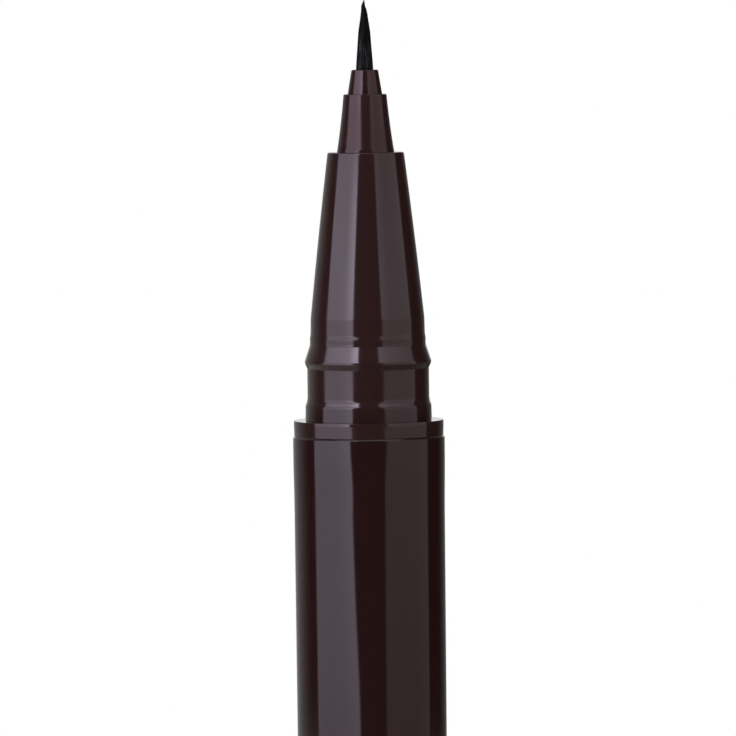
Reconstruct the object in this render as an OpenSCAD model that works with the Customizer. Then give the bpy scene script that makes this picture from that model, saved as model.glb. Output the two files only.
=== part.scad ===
// Liquid eyeliner pen, uncapped and standing on its tail, with its cap stood beside it.
// Millimetres. +Z runs from the tail to the brush tip. The origin is the centre of the tail's flat face.
// Stations along the pen are built up from the named lengths, from the tail to the tip.

/* [Barrel] */
// Length of the barrel tube
barrel_len = 98.6; // [85:0.1:110]
// Outer diameter of the straight land at the tail
barrel_tail_d = 10.2; // [9.4:0.05:12]
// How far the side draws out from the land to the waist below the mouth
barrel_draft = 0.155; // [0.05:0.005:0.3]
// How far the mouth flares out from the waist
barrel_flare = 0.045; // [0.02:0.005:0.1]
// Wall of the barrel at the tail
barrel_wall = 0.6; // [0.45:0.01:0.75]
// Length of the straight land at the tail
barrel_land_len = 28; // [10:0.5:60]
// Length over which the mouth flares
barrel_flare_len = 5.6; // [3:0.1:10]
// Chamfer of the barrel's rims, which shows as the seam lines
barrel_seam = 0.05; // [0.02:0.01:0.1]

/* [Tail cap] */
// Thickness of the flange that shows below the barrel
tail_flange_h = 1.4; // [1.2:0.05:2.5]
// Radius of the flange's lower edge
tail_edge_r = 0.5; // [0.2:0.05:0.8]
// Length of the spigot inside the barrel
tail_spigot_len = 3.6; // [2.5:0.1:6]
// Wall of the spigot
tail_spigot_wall = 0.9; // [0.6:0.05:1.4]
// Thickness of the floor under the hollow
tail_floor_h = 1.2; // [0.8:0.05:2]

/* [Ink tank] */
// Gap between the tank's two centring bands and the barrel
tank_fit = 0.07; // [0.04:0.01:0.12]
// Height of each band
tank_band_h = 3; // [1:0.1:6]
// How far each band stands out from the tank's tube
tank_band_step = 0.18; // [0.08:0.01:0.3]
// Wall of the tank's tube
tank_wall = 0.6; // [0.4:0.02:0.9]
// Thickness of the plug's flange under the tank
plug_flange_h = 1; // [0.6:0.05:1.5]
// Length of the plug inside the tank
plug_len = 4; // [3:0.1:6]
// How far each sealing rib stands out from the plug
plug_rib_rise = 0.13; // [0.06:0.01:0.2]
// Height of each sealing rib of the plug
plug_rib_h = 0.5; // [0.3:0.05:0.8]
// Wall round the hollow in the back of the plug
plug_core_wall = 1.3; // [0.8:0.05:2]
// Depth of the dish that the ball rests in
plug_dish_h = 0.6; // [0.3:0.05:0.9]
// Thickness of the soft ring on the tank's mouth
seal_h = 0.9; // [0.6:0.05:1.4]
// Chamfer round the soft ring's section
seal_chamfer = 0.15; // [0.05:0.01:0.2]
// Diameter of the steel mixing ball
ball_d = 3.2; // [2.4:0.1:4]

/* [Collar] */
// Height of the ring that shows
collar_h = 1.05; // [0.8:0.05:2]
// How far the ring stands back from the barrel's mouth
collar_step = 0.09; // [0.06:0.01:0.2]
// How far the lip on the ring's upper edge stands out
collar_lip = 0.025; // [0.01:0.005:0.05]
// Height of the lip
collar_lip_h = 0.3; // [0.15:0.05:0.45]
// Chamfer of the ring's edges
collar_edge = 0.06; // [0.02:0.01:0.1]
// Length of the sleeve inside the barrel
collar_sleeve_len = 10; // [8:0.5:12]
// Wall of the sleeve
collar_wall = 0.43; // [0.35:0.01:0.5]

/* [Neck] */
// How far the ring inside the cap's mouth stands back from the barrel's mouth
cap_step = 0.88; // [0.76:0.01:1]
// Height of that ring
cap_ring_h = 0.98; // [0.6:0.02:1.4]
// Draft of that ring, as the drop in its radius
cap_ring_draft = 0.025; // [0:0.005:0.05]
// Height of the chamfer above the ring
ring_chamfer_h = 0.47; // [0.2:0.01:0.8]
// Depth of the groove that the snap ridge drops into
groove_depth = 0.168; // [0.14:0.002:0.2]
// Height of the groove
groove_h = 2.16; // [1.6:0.02:3]
// How far the snap bead stands out of the groove
bead_reach = 0.158; // [0.12:0.002:0.18]
// Height of the bead's underside
bead_rise_h = 0.45; // [0.3:0.02:0.8]
// Height of the bead's round top
bead_round_h = 0.16; // [0.1:0.02:0.3]
// Height of the flare above the bead
flare_h = 1.11; // [0.8:0.01:1.6]
// How far the flare draws in from the bead to its top
flare_drop = 0.345; // [0.25:0.005:0.4]
// Wall of the neck round the front section's skirt, at the top of the flare
neck_wall = 0.365; // [0.3:0.005:0.42]
// Wall of the neck's stem
stem_wall = 0.58; // [0.5:0.01:0.7]

/* [Front section] */
// How far the flange stands back from the top of the neck
section_step = 0.013; // [0.005:0.001:0.04]
// Height of that flange
section_flange_h = 0.55; // [0.3:0.05:1]
// Chamfer between the flange and the sealing land
section_step_h = 0.14; // [0.08:0.01:0.3]
// How far the land that the inner cap seals on stands back from the flange
land_step = 0.062; // [0.04:0.002:0.1]
// Height of the land
land_h = 1.13; // [0.8:0.01:2]
// Length of the grip cone
cone_len = 11.62; // [9:0.02:15]
// Width of the cone's front face round the nozzle
cone_face_w = 0.66; // [0.5:0.01:0.9]
// How far the cone's side bulges from a straight line
cone_crown = 0.02; // [0:0.005:0.06]
// Radius of the cone's front edge
cone_edge_r = 0.1; // [0.05:0.01:0.2]
// Wall of the cone
cone_wall = 0.66; // [0.55:0.01:0.68]
// Length of the skirt inside the neck
skirt_len = 5.3; // [4:0.1:6]
// Wall of the skirt
skirt_wall = 0.5; // [0.4:0.02:0.6]

/* [Collector] */
// Thickness of the flange on the soft ring
collector_flange_h = 1.1; // [0.8:0.05:1.6]
// Thickness of a fin
fin_t = 0.32; // [0.2:0.02:0.4]
// Distance from one fin to the next
fin_pitch = 0.72; // [0.6:0.02:1.2]
// Gap between the fins and the bore round them
fin_gap = 0.15; // [0.08:0.01:0.25]
// Wall of the collector's core round the feed core
core_wall = 0.97; // [0.7:0.01:1.2]
// Width of the air channel through the fins
air_slot_w = 1; // [0.5:0.05:1.4]
// Width of the ink slit that reaches the feed core
ink_slit_w = 0.16; // [0.1:0.02:0.3]
// Wall of the collector's nose inside the nozzle
nose_wall = 0.62; // [0.4:0.01:0.66]
// Length of the collector's nose
nose_len = 3.6; // [3:0.1:5]
// Diameter of the fibre feed core
feed_d = 1; // [0.8:0.02:1.1]
// How far the feed core stands out into the tank
feed_tail_len = 4.9; // [2:0.1:8]
// Chamfer on the ends of the feed core
feed_chamfer = 0.15; // [0.05:0.01:0.2]

/* [Nozzle and ferrule] */
// Length of the nozzle that shows
nozzle_len = 4.04; // [3:0.02:6]
// Width of the nozzle's top face round the ferrule
nozzle_face_w = 0.275; // [0.2:0.005:0.4]
// How far the nozzle's side draws in from the cone to its top
nozzle_taper = 0.5; // [0.3:0.01:0.6]
// How far the nozzle's side is hollowed from a straight line
nozzle_sag = 0.037; // [0:0.001:0.06]
// Radius of the nozzle's top edge
nozzle_edge_r = 0.08; // [0.03:0.01:0.12]
// Depth of the nozzle's seat below the cone's tip
nozzle_seat_depth = 2.62; // [2:0.02:3]
// Thickness of the nozzle's flange
nozzle_flange_h = 1; // [0.6:0.05:1.4]
// Length of the nozzle's tail behind its flange
nozzle_tail_len = 2.6; // [2:0.1:3]
// Wall of the nozzle's tail
nozzle_tail_wall = 0.5; // [0.3:0.02:0.52]
// Thickness of the web between the nozzle's two bores
nozzle_web_h = 1.6; // [1:0.1:2]
// Length of the ferrule that shows
ferrule_len = 1.7; // [1:0.02:2.6]
// Width of the ferrule's top face round the brush
ferrule_face_w = 0.303; // [0.2:0.001:0.4]
// How far the ferrule's side draws in from the nozzle to its top
ferrule_taper = 0.28; // [0.15:0.01:0.35]
// Radius of the ferrule's top edge
ferrule_edge_r = 0.1; // [0.04:0.01:0.15]
// Depth of the step in the ferrule's bore that holds the brush
ferrule_step = 0.273; // [0.2:0.001:0.35]

/* [Brush] */
// Diameter of the bristles at the ferrule
brush_d = 1.214; // [1.1:0.002:1.3]
// Length of the bristles outside the ferrule
brush_len = 4.89; // [3:0.01:7]
// Depth of the welded root below the ferrule's top
brush_sink = 0.36; // [0.2:0.02:1]
// Length of the root plug above its flange
brush_root_len = 5.2; // [4.4:0.1:5.2]
// Gap round the root's flange
brush_flange_gap = 0.05; // [0.02:0.005:0.08]
// Thickness of the root's flange
brush_flange_h = 0.6; // [0.3:0.05:0.9]
// Wall of the retainer behind the root
retainer_wall = 0.31; // [0.2:0.01:0.34]

/* [Cap] */
// Length of the whole cap
cap_len = 38.6; // [37:0.1:45]
// How far the outer tube draws in from its mouth, as wide as the barrel's, to its closed end
cap_draft = 0.15; // [0.05:0.01:0.2]
// Wall of the outer tube at the mouth
cap_wall = 0.42; // [0.36:0.01:0.5]
// Chamfer of the outer tube's rims
cap_rim = 0.08; // [0.03:0.01:0.12]
// Thickness of the end plug's flange
cap_flange_h = 1.4; // [1.2:0.05:2.5]
// Radius of the end plug's outer edge
cap_edge_r = 0.6; // [0.2:0.05:0.9]
// Length of the end plug's spigot
cap_spigot_len = 3; // [2:0.1:4]
// Wall of the end plug's spigot
cap_spigot_wall = 1; // [0.6:0.05:1.2]
// Depth of the spring's seat above the end face
cap_seat_h = 1.8; // [1.5:0.05:2.5]
// Distance between the pen's axis and the cap's axis
cap_stand_x = 18; // [15:0.5:30]

/* [Cap liner and inner cap] */
// Gap between the liner and the neck's ring when the cap is on
liner_fit = 0.05; // [0.03:0.005:0.1]
// Set-back of the liner from the cap's mouth
liner_set_back = 0.15; // [0.05:0.01:0.3]
// Lead-in chamfer of the liner's mouth
liner_lead = 0.2; // [0.1:0.02:0.3]
// Distance from the foot of the neck's bead to the middle of the snap ridge when the cap is on
ridge_room = 0.31; // [0.25:0.01:0.6]
// How far the snap ridge reaches behind the bead
ridge_grip = 0.08; // [0.04:0.01:0.12]
// Height of the ridge's flat
ridge_flat_h = 0.2; // [0.1:0.02:0.3]
// Running gap between the inner cap and the liner
slide_gap = 0.08; // [0.05:0.01:0.12]
// Gap between the inner cap's rim and the ridge that holds it
rim_gap = 0.05; // [0.03:0.01:0.1]
// Clearance of the inner cap's sealing mouth on the land
seal_fit = 0.02; // [0.01:0.005:0.04]
// Height of the sealing mouth
seal_bore_h = 1.5; // [1:0.1:2]
// How far the inner cap's tapered bore runs past the cone when the cap is on
taper_over = 0.11; // [0.05:0.01:1]
// Gap above the brush's tip when the cap is on
tip_gap = 0.9; // [0.5:0.05:2]
// Wall of the inner cap's side
inner_wall = 0.6; // [0.45:0.01:0.6]
// Thickness of the inner cap's closed end
inner_end_h = 0.8; // [0.6:0.05:1.2]
// Length of the guide band at the inner cap's mouth
guide_band_len = 5; // [3:0.1:6]
// Width of each guide rib
guide_rib_w = 0.7; // [0.4:0.05:1]
// How far the guide band stands out from the inner cap's side
guide_reach = 0.74; // [0.6:0.01:0.8]
// How far the guide ribs stand below the guide band
guide_rib_relief = 0.03; // [0.02:0.01:0.1]
// Number of guide ribs
guide_ribs = 6; // [3:1:10]

/* [Cap spring] */
// Diameter of the spring's wire
wire_d = 0.4; // [0.25:0.01:0.5]
// Gap between the spring's coils and the pilots
coil_play = 0.4; // [0.2:0.02:0.6]
// Number of turns
coil_turns = 6; // [4:1:8]
// Diameter of the pilots that centre the spring
pilot_d = 4; // [3:0.1:4.4]
// Height of each pilot
pilot_h = 0.8; // [0.5:0.05:1.2]

/* [Hidden] */

$fn = 96;

// Slip clearance between two pieces that are pushed together, and the ball's clearance above its dish
seat_gap = 0.02;
ball_gap = 0.06;
// Clearance of a bore that the feed core runs through, and the overrun of a cut
feed_gap = 0.03;
overrun = 0.5;

// Steps along a drawn curve, and along a rounded edge
curve_steps = 8;
edge_steps = 4;

dark_gloss = [0.20, 0.11, 0.12];
soft_gloss = [0.24, 0.15, 0.16];
natural_resin = [0.86, 0.85, 0.82];
steel_grey = [0.70, 0.71, 0.73];
bristle_black = [0.07, 0.07, 0.08];

// Stations of the tail and the barrel
spigot_z1 = tail_flange_h + tail_spigot_len;
tank_z0 = spigot_z1 + plug_flange_h;
barrel_z1 = tail_flange_h + barrel_len;
sleeve_z0 = barrel_z1 - collar_sleeve_len;
collector_z0 = sleeve_z0 - collector_flange_h;
tank_z1 = collector_z0 - seal_h;
feed_z0 = collector_z0 - feed_tail_len;

// Stations of the collar and the neck
collar_z1 = barrel_z1 + collar_h;
ring_z1 = collar_z1 + cap_ring_h;
groove_z0 = ring_z1 + ring_chamfer_h;
bead_z0 = groove_z0 + groove_h;
bead_z1 = bead_z0 + bead_rise_h;
flare_z0 = bead_z1 + bead_round_h;
neck_z1 = flare_z0 + flare_h;

// Stations of the front section and what it holds
skirt_z0 = neck_z1 - skirt_len;
land_z0 = neck_z1 + section_flange_h + section_step_h;
cone_z0 = land_z0 + land_h;
cone_z1 = cone_z0 + cone_len;
nozzle_seat_z = cone_z1 - nozzle_seat_depth;
nozzle_z0 = nozzle_seat_z - nozzle_flange_h - nozzle_tail_len;
nozzle_z1 = cone_z1 + nozzle_len;
web_z1 = nozzle_seat_z - nozzle_flange_h + nozzle_web_h;
nose_z1 = web_z1 - nozzle_web_h - seat_gap;
ferrule_z1 = nozzle_z1 + ferrule_len;
bristle_z0 = ferrule_z1 - brush_sink;
flange_z1 = bristle_z0 - brush_root_len;
flange_z0 = flange_z1 - brush_flange_h;
tip_z = ferrule_z1 + brush_len;

// Radii of the barrel and of what it holds, from the outside in
tail_r = barrel_tail_d / 2;
waist_r = tail_r + barrel_draft;
mouth_r = waist_r + barrel_flare;
bore_r = tail_r - barrel_wall;
tank_band_r = bore_r - tank_fit;
tank_r = tank_band_r - tank_band_step;
tank_bore_r = tank_r - tank_wall;
sleeve_r = bore_r - seat_gap;
collar_bore_r = sleeve_r - collar_wall;
stem_r = collar_bore_r - seat_gap;
stem_bore_r = stem_r - stem_wall;

// Radii of the neck and the front section, from the barrel's mouth in
cap_ring_r = mouth_r - cap_step;
groove_r = cap_ring_r - groove_depth;
bead_r = groove_r + bead_reach;
flare_top_r = bead_r - flare_drop;
neck_bore_r = flare_top_r - neck_wall;
section_flange_r = flare_top_r - section_step;
land_r = section_flange_r - land_step;
skirt_r = neck_bore_r - seat_gap;
skirt_bore_r = skirt_r - skirt_wall;

// Radii of the front end, from the brush out
brush_r = brush_d / 2;
ferrule_bore_r = brush_r + seat_gap;
ferrule_core_r = ferrule_bore_r + ferrule_step;
ferrule_top_r = ferrule_bore_r + ferrule_face_w;
ferrule_root_r = ferrule_top_r + ferrule_taper;
nozzle_bore_r = ferrule_root_r + seat_gap;
nozzle_top_r = nozzle_bore_r + nozzle_face_w;
nozzle_root_r = nozzle_top_r + nozzle_taper;
nozzle_hole_r = nozzle_root_r + seat_gap;
cone_tip_r = nozzle_root_r + cone_face_w;
cone_bore_tip_r = cone_tip_r + (land_r - cone_tip_r) * nozzle_seat_depth / cone_len - cone_wall;
nozzle_flange_r = cone_bore_tip_r - seat_gap;

// Radii round the feed core
feed_r = feed_d / 2;
feed_bore_r = feed_r + feed_gap;
core_r = feed_bore_r + core_wall;
nose_r = feed_bore_r + nose_wall;
nose_bore_r = nose_r + seat_gap;

// Radii of the cap, whose mouth is as wide as the barrel's
cap_end_r = mouth_r - cap_draft;
cap_bore_r = mouth_r - cap_wall;
liner_r = cap_bore_r - seat_gap;
liner_bore_r = cap_ring_r + liner_fit;
ridge_r = bead_r - ridge_grip;
guide_r = liner_bore_r - slide_gap;
seal_bore_r = land_r + seal_fit;
inner_body_r = guide_r - guide_reach;
inner_bore_r = inner_body_r - inner_wall;
pilot_r = pilot_d / 2;
coil_r = pilot_r + coil_play + wire_d / 2;

// Stations of the cap, from its closed end up to its mouth
cap_spigot_z1 = cap_flange_h + cap_spigot_len;
ridge_z = cap_len - (bead_z0 - collar_z1) + ridge_room;
ridge_rise = liner_bore_r - ridge_r;
inner_z1 = ridge_z - ridge_flat_h / 2 - ridge_rise - rim_gap;
inner_depth = tip_z - neck_z1 - section_flange_h + tip_gap;
inner_z0 = inner_z1 - inner_depth - inner_end_h;
inner_taper_len = cone_z1 - neck_z1 - section_flange_h - seal_bore_h + taper_over;

// A value part of the way from a to b
function mix(a, b, t) = a + (b - a) * t;

// Points along a side from [r0, z0] to [r1, z1] that bulges out by crown at its middle
function bowed_side(r0, z0, r1, z1, crown) = [
    for (i = [0:curve_steps]) let (t = i / curve_steps)
        [mix(r0, r1, t) + crown * 4 * t * (1 - t), mix(z0, z1, t)]
];

// Points along a side whose radius eases from r0 to r1 with no corner at either end
function eased_side(r0, z0, r1, z1) = [
    for (i = [0:curve_steps]) let (t = i / curve_steps)
        [mix(r0, r1, (1 - cos(180 * t)) / 2), mix(z0, z1, t)]
];

// Points of a rounded edge of radius e round the centre [r, z], from angle a0 to a1
function round_edge(r, z, e, a0, a1) = [
    for (i = [0:edge_steps]) let (a = mix(a0, a1, i / edge_steps)) [r + e * cos(a), z + e * sin(a)]
];

module revolve(outline) {
    rotate_extrude() polygon(outline);
}

// Tail cap: a rounded flange below the barrel, and a hollow spigot that clamps the stack inside it.
module tail_cap() {
    hollow_r = sleeve_r - tail_spigot_wall;
    color(dark_gloss) revolve(concat(
        [[0, 0]],
        round_edge(tail_r - tail_edge_r, tail_edge_r, tail_edge_r, -90, 0),
        [
            [tail_r, tail_flange_h - barrel_seam],
            [tail_r - barrel_seam, tail_flange_h],
            [sleeve_r, tail_flange_h],
            [sleeve_r, spigot_z1],
            [hollow_r, spigot_z1],
            [hollow_r, tail_floor_h],
            [0, tail_floor_h]
        ]
    ));
}

// Barrel: straight land at the tail, long draft, and an eased flare at the mouth.
module barrel() {
    color(dark_gloss) revolve(concat(
        [
            [bore_r, tail_flange_h],
            [tail_r - barrel_seam, tail_flange_h],
            [tail_r, tail_flange_h + barrel_seam],
            [tail_r, tail_flange_h + barrel_land_len]
        ],
        eased_side(waist_r, barrel_z1 - barrel_flare_len, mouth_r, barrel_z1 - collar_h),
        [
            [mouth_r, barrel_z1 - barrel_seam],
            [mouth_r - barrel_seam, barrel_z1],
            [bore_r, barrel_z1]
        ]
    ));
}

// Ink tank: a straight tube with a centring band near each end.
module ink_tank() {
    color(natural_resin) revolve([
        [tank_bore_r, tank_z0],
        [tank_band_r, tank_z0],
        [tank_band_r, tank_z0 + tank_band_h],
        [tank_r, tank_z0 + tank_band_h + tank_band_step],
        [tank_r, tank_z1 - tank_band_h - tank_band_step],
        [tank_band_r, tank_z1 - tank_band_h],
        [tank_band_r, tank_z1],
        [tank_bore_r, tank_z1]
    ]);
}

// Tank plug: flange under the tank, two sealing ribs, a hollow back and a dished face for the ball.
module tank_plug() {
    rib_r = tank_bore_r - seat_gap;
    body_r = rib_r - plug_rib_rise;
    plug_z1 = tank_z0 + plug_len;
    rib_room = plug_len / 3;
    core_z1 = plug_z1 - plug_dish_h - plug_flange_h;
    color(natural_resin) revolve(concat(
        [
            [0, core_z1],
            [body_r - plug_core_wall, core_z1],
            [body_r - plug_core_wall, spigot_z1],
            [tank_band_r, spigot_z1],
            [tank_band_r, tank_z0],
            [body_r, tank_z0]
        ],
        [
            for (i = [1, 2], p = [
                [body_r, -plug_rib_h / 2 - plug_rib_rise],
                [rib_r, -plug_rib_h / 2],
                [rib_r, plug_rib_h / 2],
                [body_r, plug_rib_h / 2 + plug_rib_rise]
            ]) [p[0], tank_z0 + i * rib_room + p[1]]
        ],
        [
            [body_r, plug_z1],
            [ball_d / 2, plug_z1],
            [0, plug_z1 - plug_dish_h]
        ]
    ));
}

// Soft ring between the tank's mouth and the collector's flange.
module tank_seal() {
    color("dimgray") revolve([
        [tank_bore_r + seal_chamfer, tank_z1],
        [tank_band_r - seal_chamfer, tank_z1],
        [tank_band_r, tank_z1 + seal_chamfer],
        [tank_band_r, collector_z0 - seal_chamfer],
        [tank_band_r - seal_chamfer, collector_z0],
        [tank_bore_r + seal_chamfer, collector_z0],
        [tank_bore_r, collector_z0 - seal_chamfer],
        [tank_bore_r, tank_z1 + seal_chamfer]
    ]);
}

// Mixing ball, resting in the plug's dish. It touches the cone of the dish, not its point.
module mixing_ball() {
    ball_r = ball_d / 2;
    slope = atan(plug_dish_h / ball_r);
    dish_z = tank_z0 + plug_len - plug_dish_h;
    color(steel_grey) translate([0, 0, dish_z + (ball_r + ball_gap) / cos(slope)]) sphere(r = ball_r);
}

// Collar: the ring that shows between barrel and neck, with its coupling sleeve.
module collar() {
    ring_r = mouth_r - collar_step;
    lip_r = ring_r + collar_lip;
    color(soft_gloss) revolve([
        [collar_bore_r, sleeve_z0],
        [sleeve_r, sleeve_z0],
        [sleeve_r, barrel_z1],
        [ring_r - collar_edge, barrel_z1],
        [ring_r, barrel_z1 + collar_edge],
        [ring_r, collar_z1 - collar_lip_h],
        [lip_r, collar_z1 - collar_edge],
        [lip_r - collar_edge, collar_z1],
        [collar_bore_r, collar_z1]
    ]);
}

// Neck: cap ring, snap groove and bead, with its stem inside the collar.
module neck() {
    bead_e = bead_round_h / 2;
    color(soft_gloss) revolve(concat(
        [
            [stem_bore_r, sleeve_z0],
            [stem_r, sleeve_z0],
            [stem_r, collar_z1],
            [cap_ring_r, collar_z1],
            [cap_ring_r - cap_ring_draft, ring_z1],
            [groove_r, groove_z0],
            [groove_r, bead_z0]
        ],
        round_edge(bead_r - bead_e, bead_z1 + bead_e, bead_e, -50, 50),
        [
            [flare_top_r, neck_z1],
            [neck_bore_r, neck_z1],
            [neck_bore_r, skirt_z0],
            [stem_bore_r, skirt_z0]
        ]
    ));
}

// Front section: flange on the neck, sealing land, crowned grip cone, and a skirt inside the neck.
module front_section() {
    color(soft_gloss) revolve(concat(
        [
            [skirt_bore_r, skirt_z0],
            [skirt_r, skirt_z0],
            [skirt_r, neck_z1],
            [section_flange_r, neck_z1],
            [section_flange_r, neck_z1 + section_flange_h],
            [land_r, land_z0]
        ],
        bowed_side(land_r, cone_z0, cone_tip_r, cone_z1 - cone_edge_r, cone_crown),
        round_edge(cone_tip_r - cone_edge_r, cone_z1 - cone_edge_r, cone_edge_r, 20, 90),
        [
            [nozzle_hole_r, cone_z1],
            [nozzle_hole_r, nozzle_seat_z],
            [cone_bore_tip_r, nozzle_seat_z],
            [skirt_bore_r, cone_z0]
        ]
    ));
}

// Radius of the bore round the collector at a height z
function collector_room(z) =
    z < skirt_z0 ? stem_bore_r :
    z < cone_z0 ? skirt_bore_r :
    mix(skirt_bore_r, cone_bore_tip_r, (z - cone_z0) / (nozzle_seat_z - cone_z0));

// Collector: a comb of fins on a hollow core, with an air channel and a fine ink slit along it.
module collector() {
    comb_z0 = sleeve_z0 + fin_pitch;
    comb_z1 = nose_z1 - nose_len - fin_pitch;
    fin_count = floor((comb_z1 - comb_z0) / fin_pitch);
    comb_len = comb_z1 + fin_pitch - sleeve_z0;
    color(natural_resin) difference() {
        revolve(concat(
            [
                [feed_bore_r, collector_z0],
                [tank_band_r, collector_z0],
                [tank_band_r, sleeve_z0],
                [core_r, sleeve_z0]
            ],
            [
                for (i = [0:fin_count - 1])
                    let (z = comb_z0 + i * fin_pitch, r = collector_room(z + fin_t) - fin_gap)
                    for (p = [[core_r, z], [r, z], [r, z + fin_t], [core_r, z + fin_t]]) p
            ],
            [
                [core_r, nose_z1 - nose_len],
                [nose_r, nose_z1 - nose_len],
                [nose_r, nose_z1],
                [feed_bore_r, nose_z1]
            ]
        ));
        translate([core_r, -air_slot_w / 2, sleeve_z0 + seat_gap]) cube([bore_r, air_slot_w, comb_len]);
        translate([-bore_r, -ink_slit_w / 2, sleeve_z0 + seat_gap]) cube([bore_r, ink_slit_w, comb_len]);
    }
}

// Feed core: a fibre rod from the tank through the collector to the back of the brush.
module feed_core() {
    color("ivory") revolve([
        [0, feed_z0],
        [feed_r - feed_chamfer, feed_z0],
        [feed_r, feed_z0 + feed_chamfer],
        [feed_r, flange_z0 - feed_chamfer],
        [feed_r - feed_chamfer, flange_z0],
        [0, flange_z0]
    ]);
}

// Nozzle: hollowed flare outside the cone, flange and tail inside it, and a web between its two bores.
module nozzle() {
    web_r = feed_bore_r + feed_gap;
    color(soft_gloss) revolve(concat(
        [
            [nose_bore_r, nozzle_z0],
            [nose_bore_r + nozzle_tail_wall, nozzle_z0],
            [nose_bore_r + nozzle_tail_wall, nozzle_seat_z - nozzle_flange_h],
            [nozzle_flange_r, nozzle_seat_z - nozzle_flange_h],
            [nozzle_flange_r, nozzle_seat_z],
            [nozzle_root_r, nozzle_seat_z]
        ],
        bowed_side(nozzle_root_r, cone_z1, nozzle_top_r, nozzle_z1 - nozzle_edge_r, -nozzle_sag),
        round_edge(nozzle_top_r - nozzle_edge_r, nozzle_z1 - nozzle_edge_r, nozzle_edge_r, 20, 90),
        [
            [nozzle_bore_r, nozzle_z1],
            [nozzle_bore_r, web_z1],
            [web_r, web_z1],
            [web_r, web_z1 - nozzle_web_h],
            [nose_bore_r, web_z1 - nozzle_web_h]
        ]
    ));
}

// Ferrule: straight inside the nozzle, tapered outside it, with a step in its bore for the brush's flange.
module ferrule() {
    color(soft_gloss) revolve(concat(
        [
            [ferrule_core_r, web_z1],
            [ferrule_root_r, web_z1],
            [ferrule_root_r, nozzle_z1]
        ],
        round_edge(ferrule_top_r - ferrule_edge_r, ferrule_z1 - ferrule_edge_r, ferrule_edge_r, 10, 90),
        [
            [ferrule_bore_r, ferrule_z1],
            [ferrule_bore_r, flange_z1],
            [ferrule_core_r, flange_z1]
        ]
    ));
}

// Brush retainer: a short tube on the nozzle's web that holds the brush's flange against its step.
module brush_retainer() {
    wall_r = ferrule_core_r - seat_gap;
    color(natural_resin) translate([0, 0, web_z1]) difference() {
        cylinder(h = flange_z0 - web_z1, r = wall_r);
        translate([0, 0, -overrun]) cylinder(h = flange_z0 - web_z1 + 2 * overrun, r = wall_r - retainer_wall);
    }
}

// Brush. Its welded root is divided into triangular cells, and one three-sided bristle grows from each cell.
// All bristles keep their place in the bundle while it gathers towards the tip, so none crosses another.
// The outer ones end first, which gives the point.
bundle_rings = 8;
// Share of a cell's width that its bristle fills
bristle_fill_share = 0.84;
// Share of the bristles' length by which the outermost ones end early
bristle_stagger_share = 0.42;
// Height along the bristles against the bundle's width there, as shares of its length and root width
bristle_gather_shares = [[0, 1], [0.4, 0.785], [0.75, 0.586], [1, 0.36]];

// Number of grid points inside ring k, and the index of point j on ring k
function ring_start(k) = k == 0 ? 0 : 1 + 3 * k * (k - 1);
function grid_index(k, j) = k == 0 ? 0 : ring_start(k) + j % (6 * k);

bristle_len = tip_z - bristle_z0;
rim_points = 6 * bundle_rings;

bundle_grid = [
    for (k = [0:bundle_rings]) for (j = [0:max(0, 6 * k - 1)])
        let (r = brush_r * k / bundle_rings, a = k == 0 ? 0 : 60 * j / k) [r * cos(a), r * sin(a)]
];

bristle_cells = [
    for (k = [1:bundle_rings]) for (s = [0:5]) for (i = [0:k - 1]) for (cell = concat(
        [[grid_index(k, s * k + i), grid_index(k, s * k + i + 1), grid_index(k - 1, s * (k - 1) + i)]],
        i == k - 1 ? [] : [[
            grid_index(k - 1, s * (k - 1) + i),
            grid_index(k, s * k + i + 1),
            grid_index(k - 1, s * (k - 1) + i + 1)
        ]]
    )) cell
];

function cell_centre(cell) = (bundle_grid[cell[0]] + bundle_grid[cell[1]] + bundle_grid[cell[2]]) / 3;
function end_share(cell) = 1 - bristle_stagger_share * pow(norm(cell_centre(cell)) / brush_r, 2);
function gather_at(share) = lookup(share, bristle_gather_shares);
function place(p, share) = [p[0] * gather_at(share), p[1] * gather_at(share), bristle_z0 + bristle_len * share];

// Levels where a bristle has a ring of three points: those of the table that lie below its own end
function bristle_levels(cell) = [for (g = bristle_gather_shares) if (g[0] < end_share(cell)) g[0]];

function bristle_points(cell) = let (c = cell_centre(cell)) concat(
    [
        for (share = bristle_levels(cell)) for (i = cell)
            place(c + (bundle_grid[i] - c) * bristle_fill_share, share)
    ],
    [place(c, end_share(cell))]
);

// Faces of the cell's rim, the bristle's sides and its point, where b is the index of its first point
function bristle_faces(cell, b, levels) = [
    for (e = [0:2]) let (f = (e + 1) % 3) for (face = concat(
        [[b + f, cell[f], cell[e]], [b + e, b + f, cell[e]]],
        [for (m = [1:levels - 1]) let (lo = b + 3 * (m - 1), hi = b + 3 * m) for (t = [0, 1])
            t == 0 ? [hi + f, lo + f, lo + e] : [hi + e, hi + f, lo + e]],
        [[b + 3 * levels, b + 3 * (levels - 1) + f, b + 3 * (levels - 1) + e]]
    )) face
];

// Rings of the root below the bristles: the plug, its flange's two edges
root_rings = [
    [brush_r, flange_z1],
    [ferrule_core_r - brush_flange_gap, flange_z1],
    [ferrule_core_r - brush_flange_gap, flange_z0]
];

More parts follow.
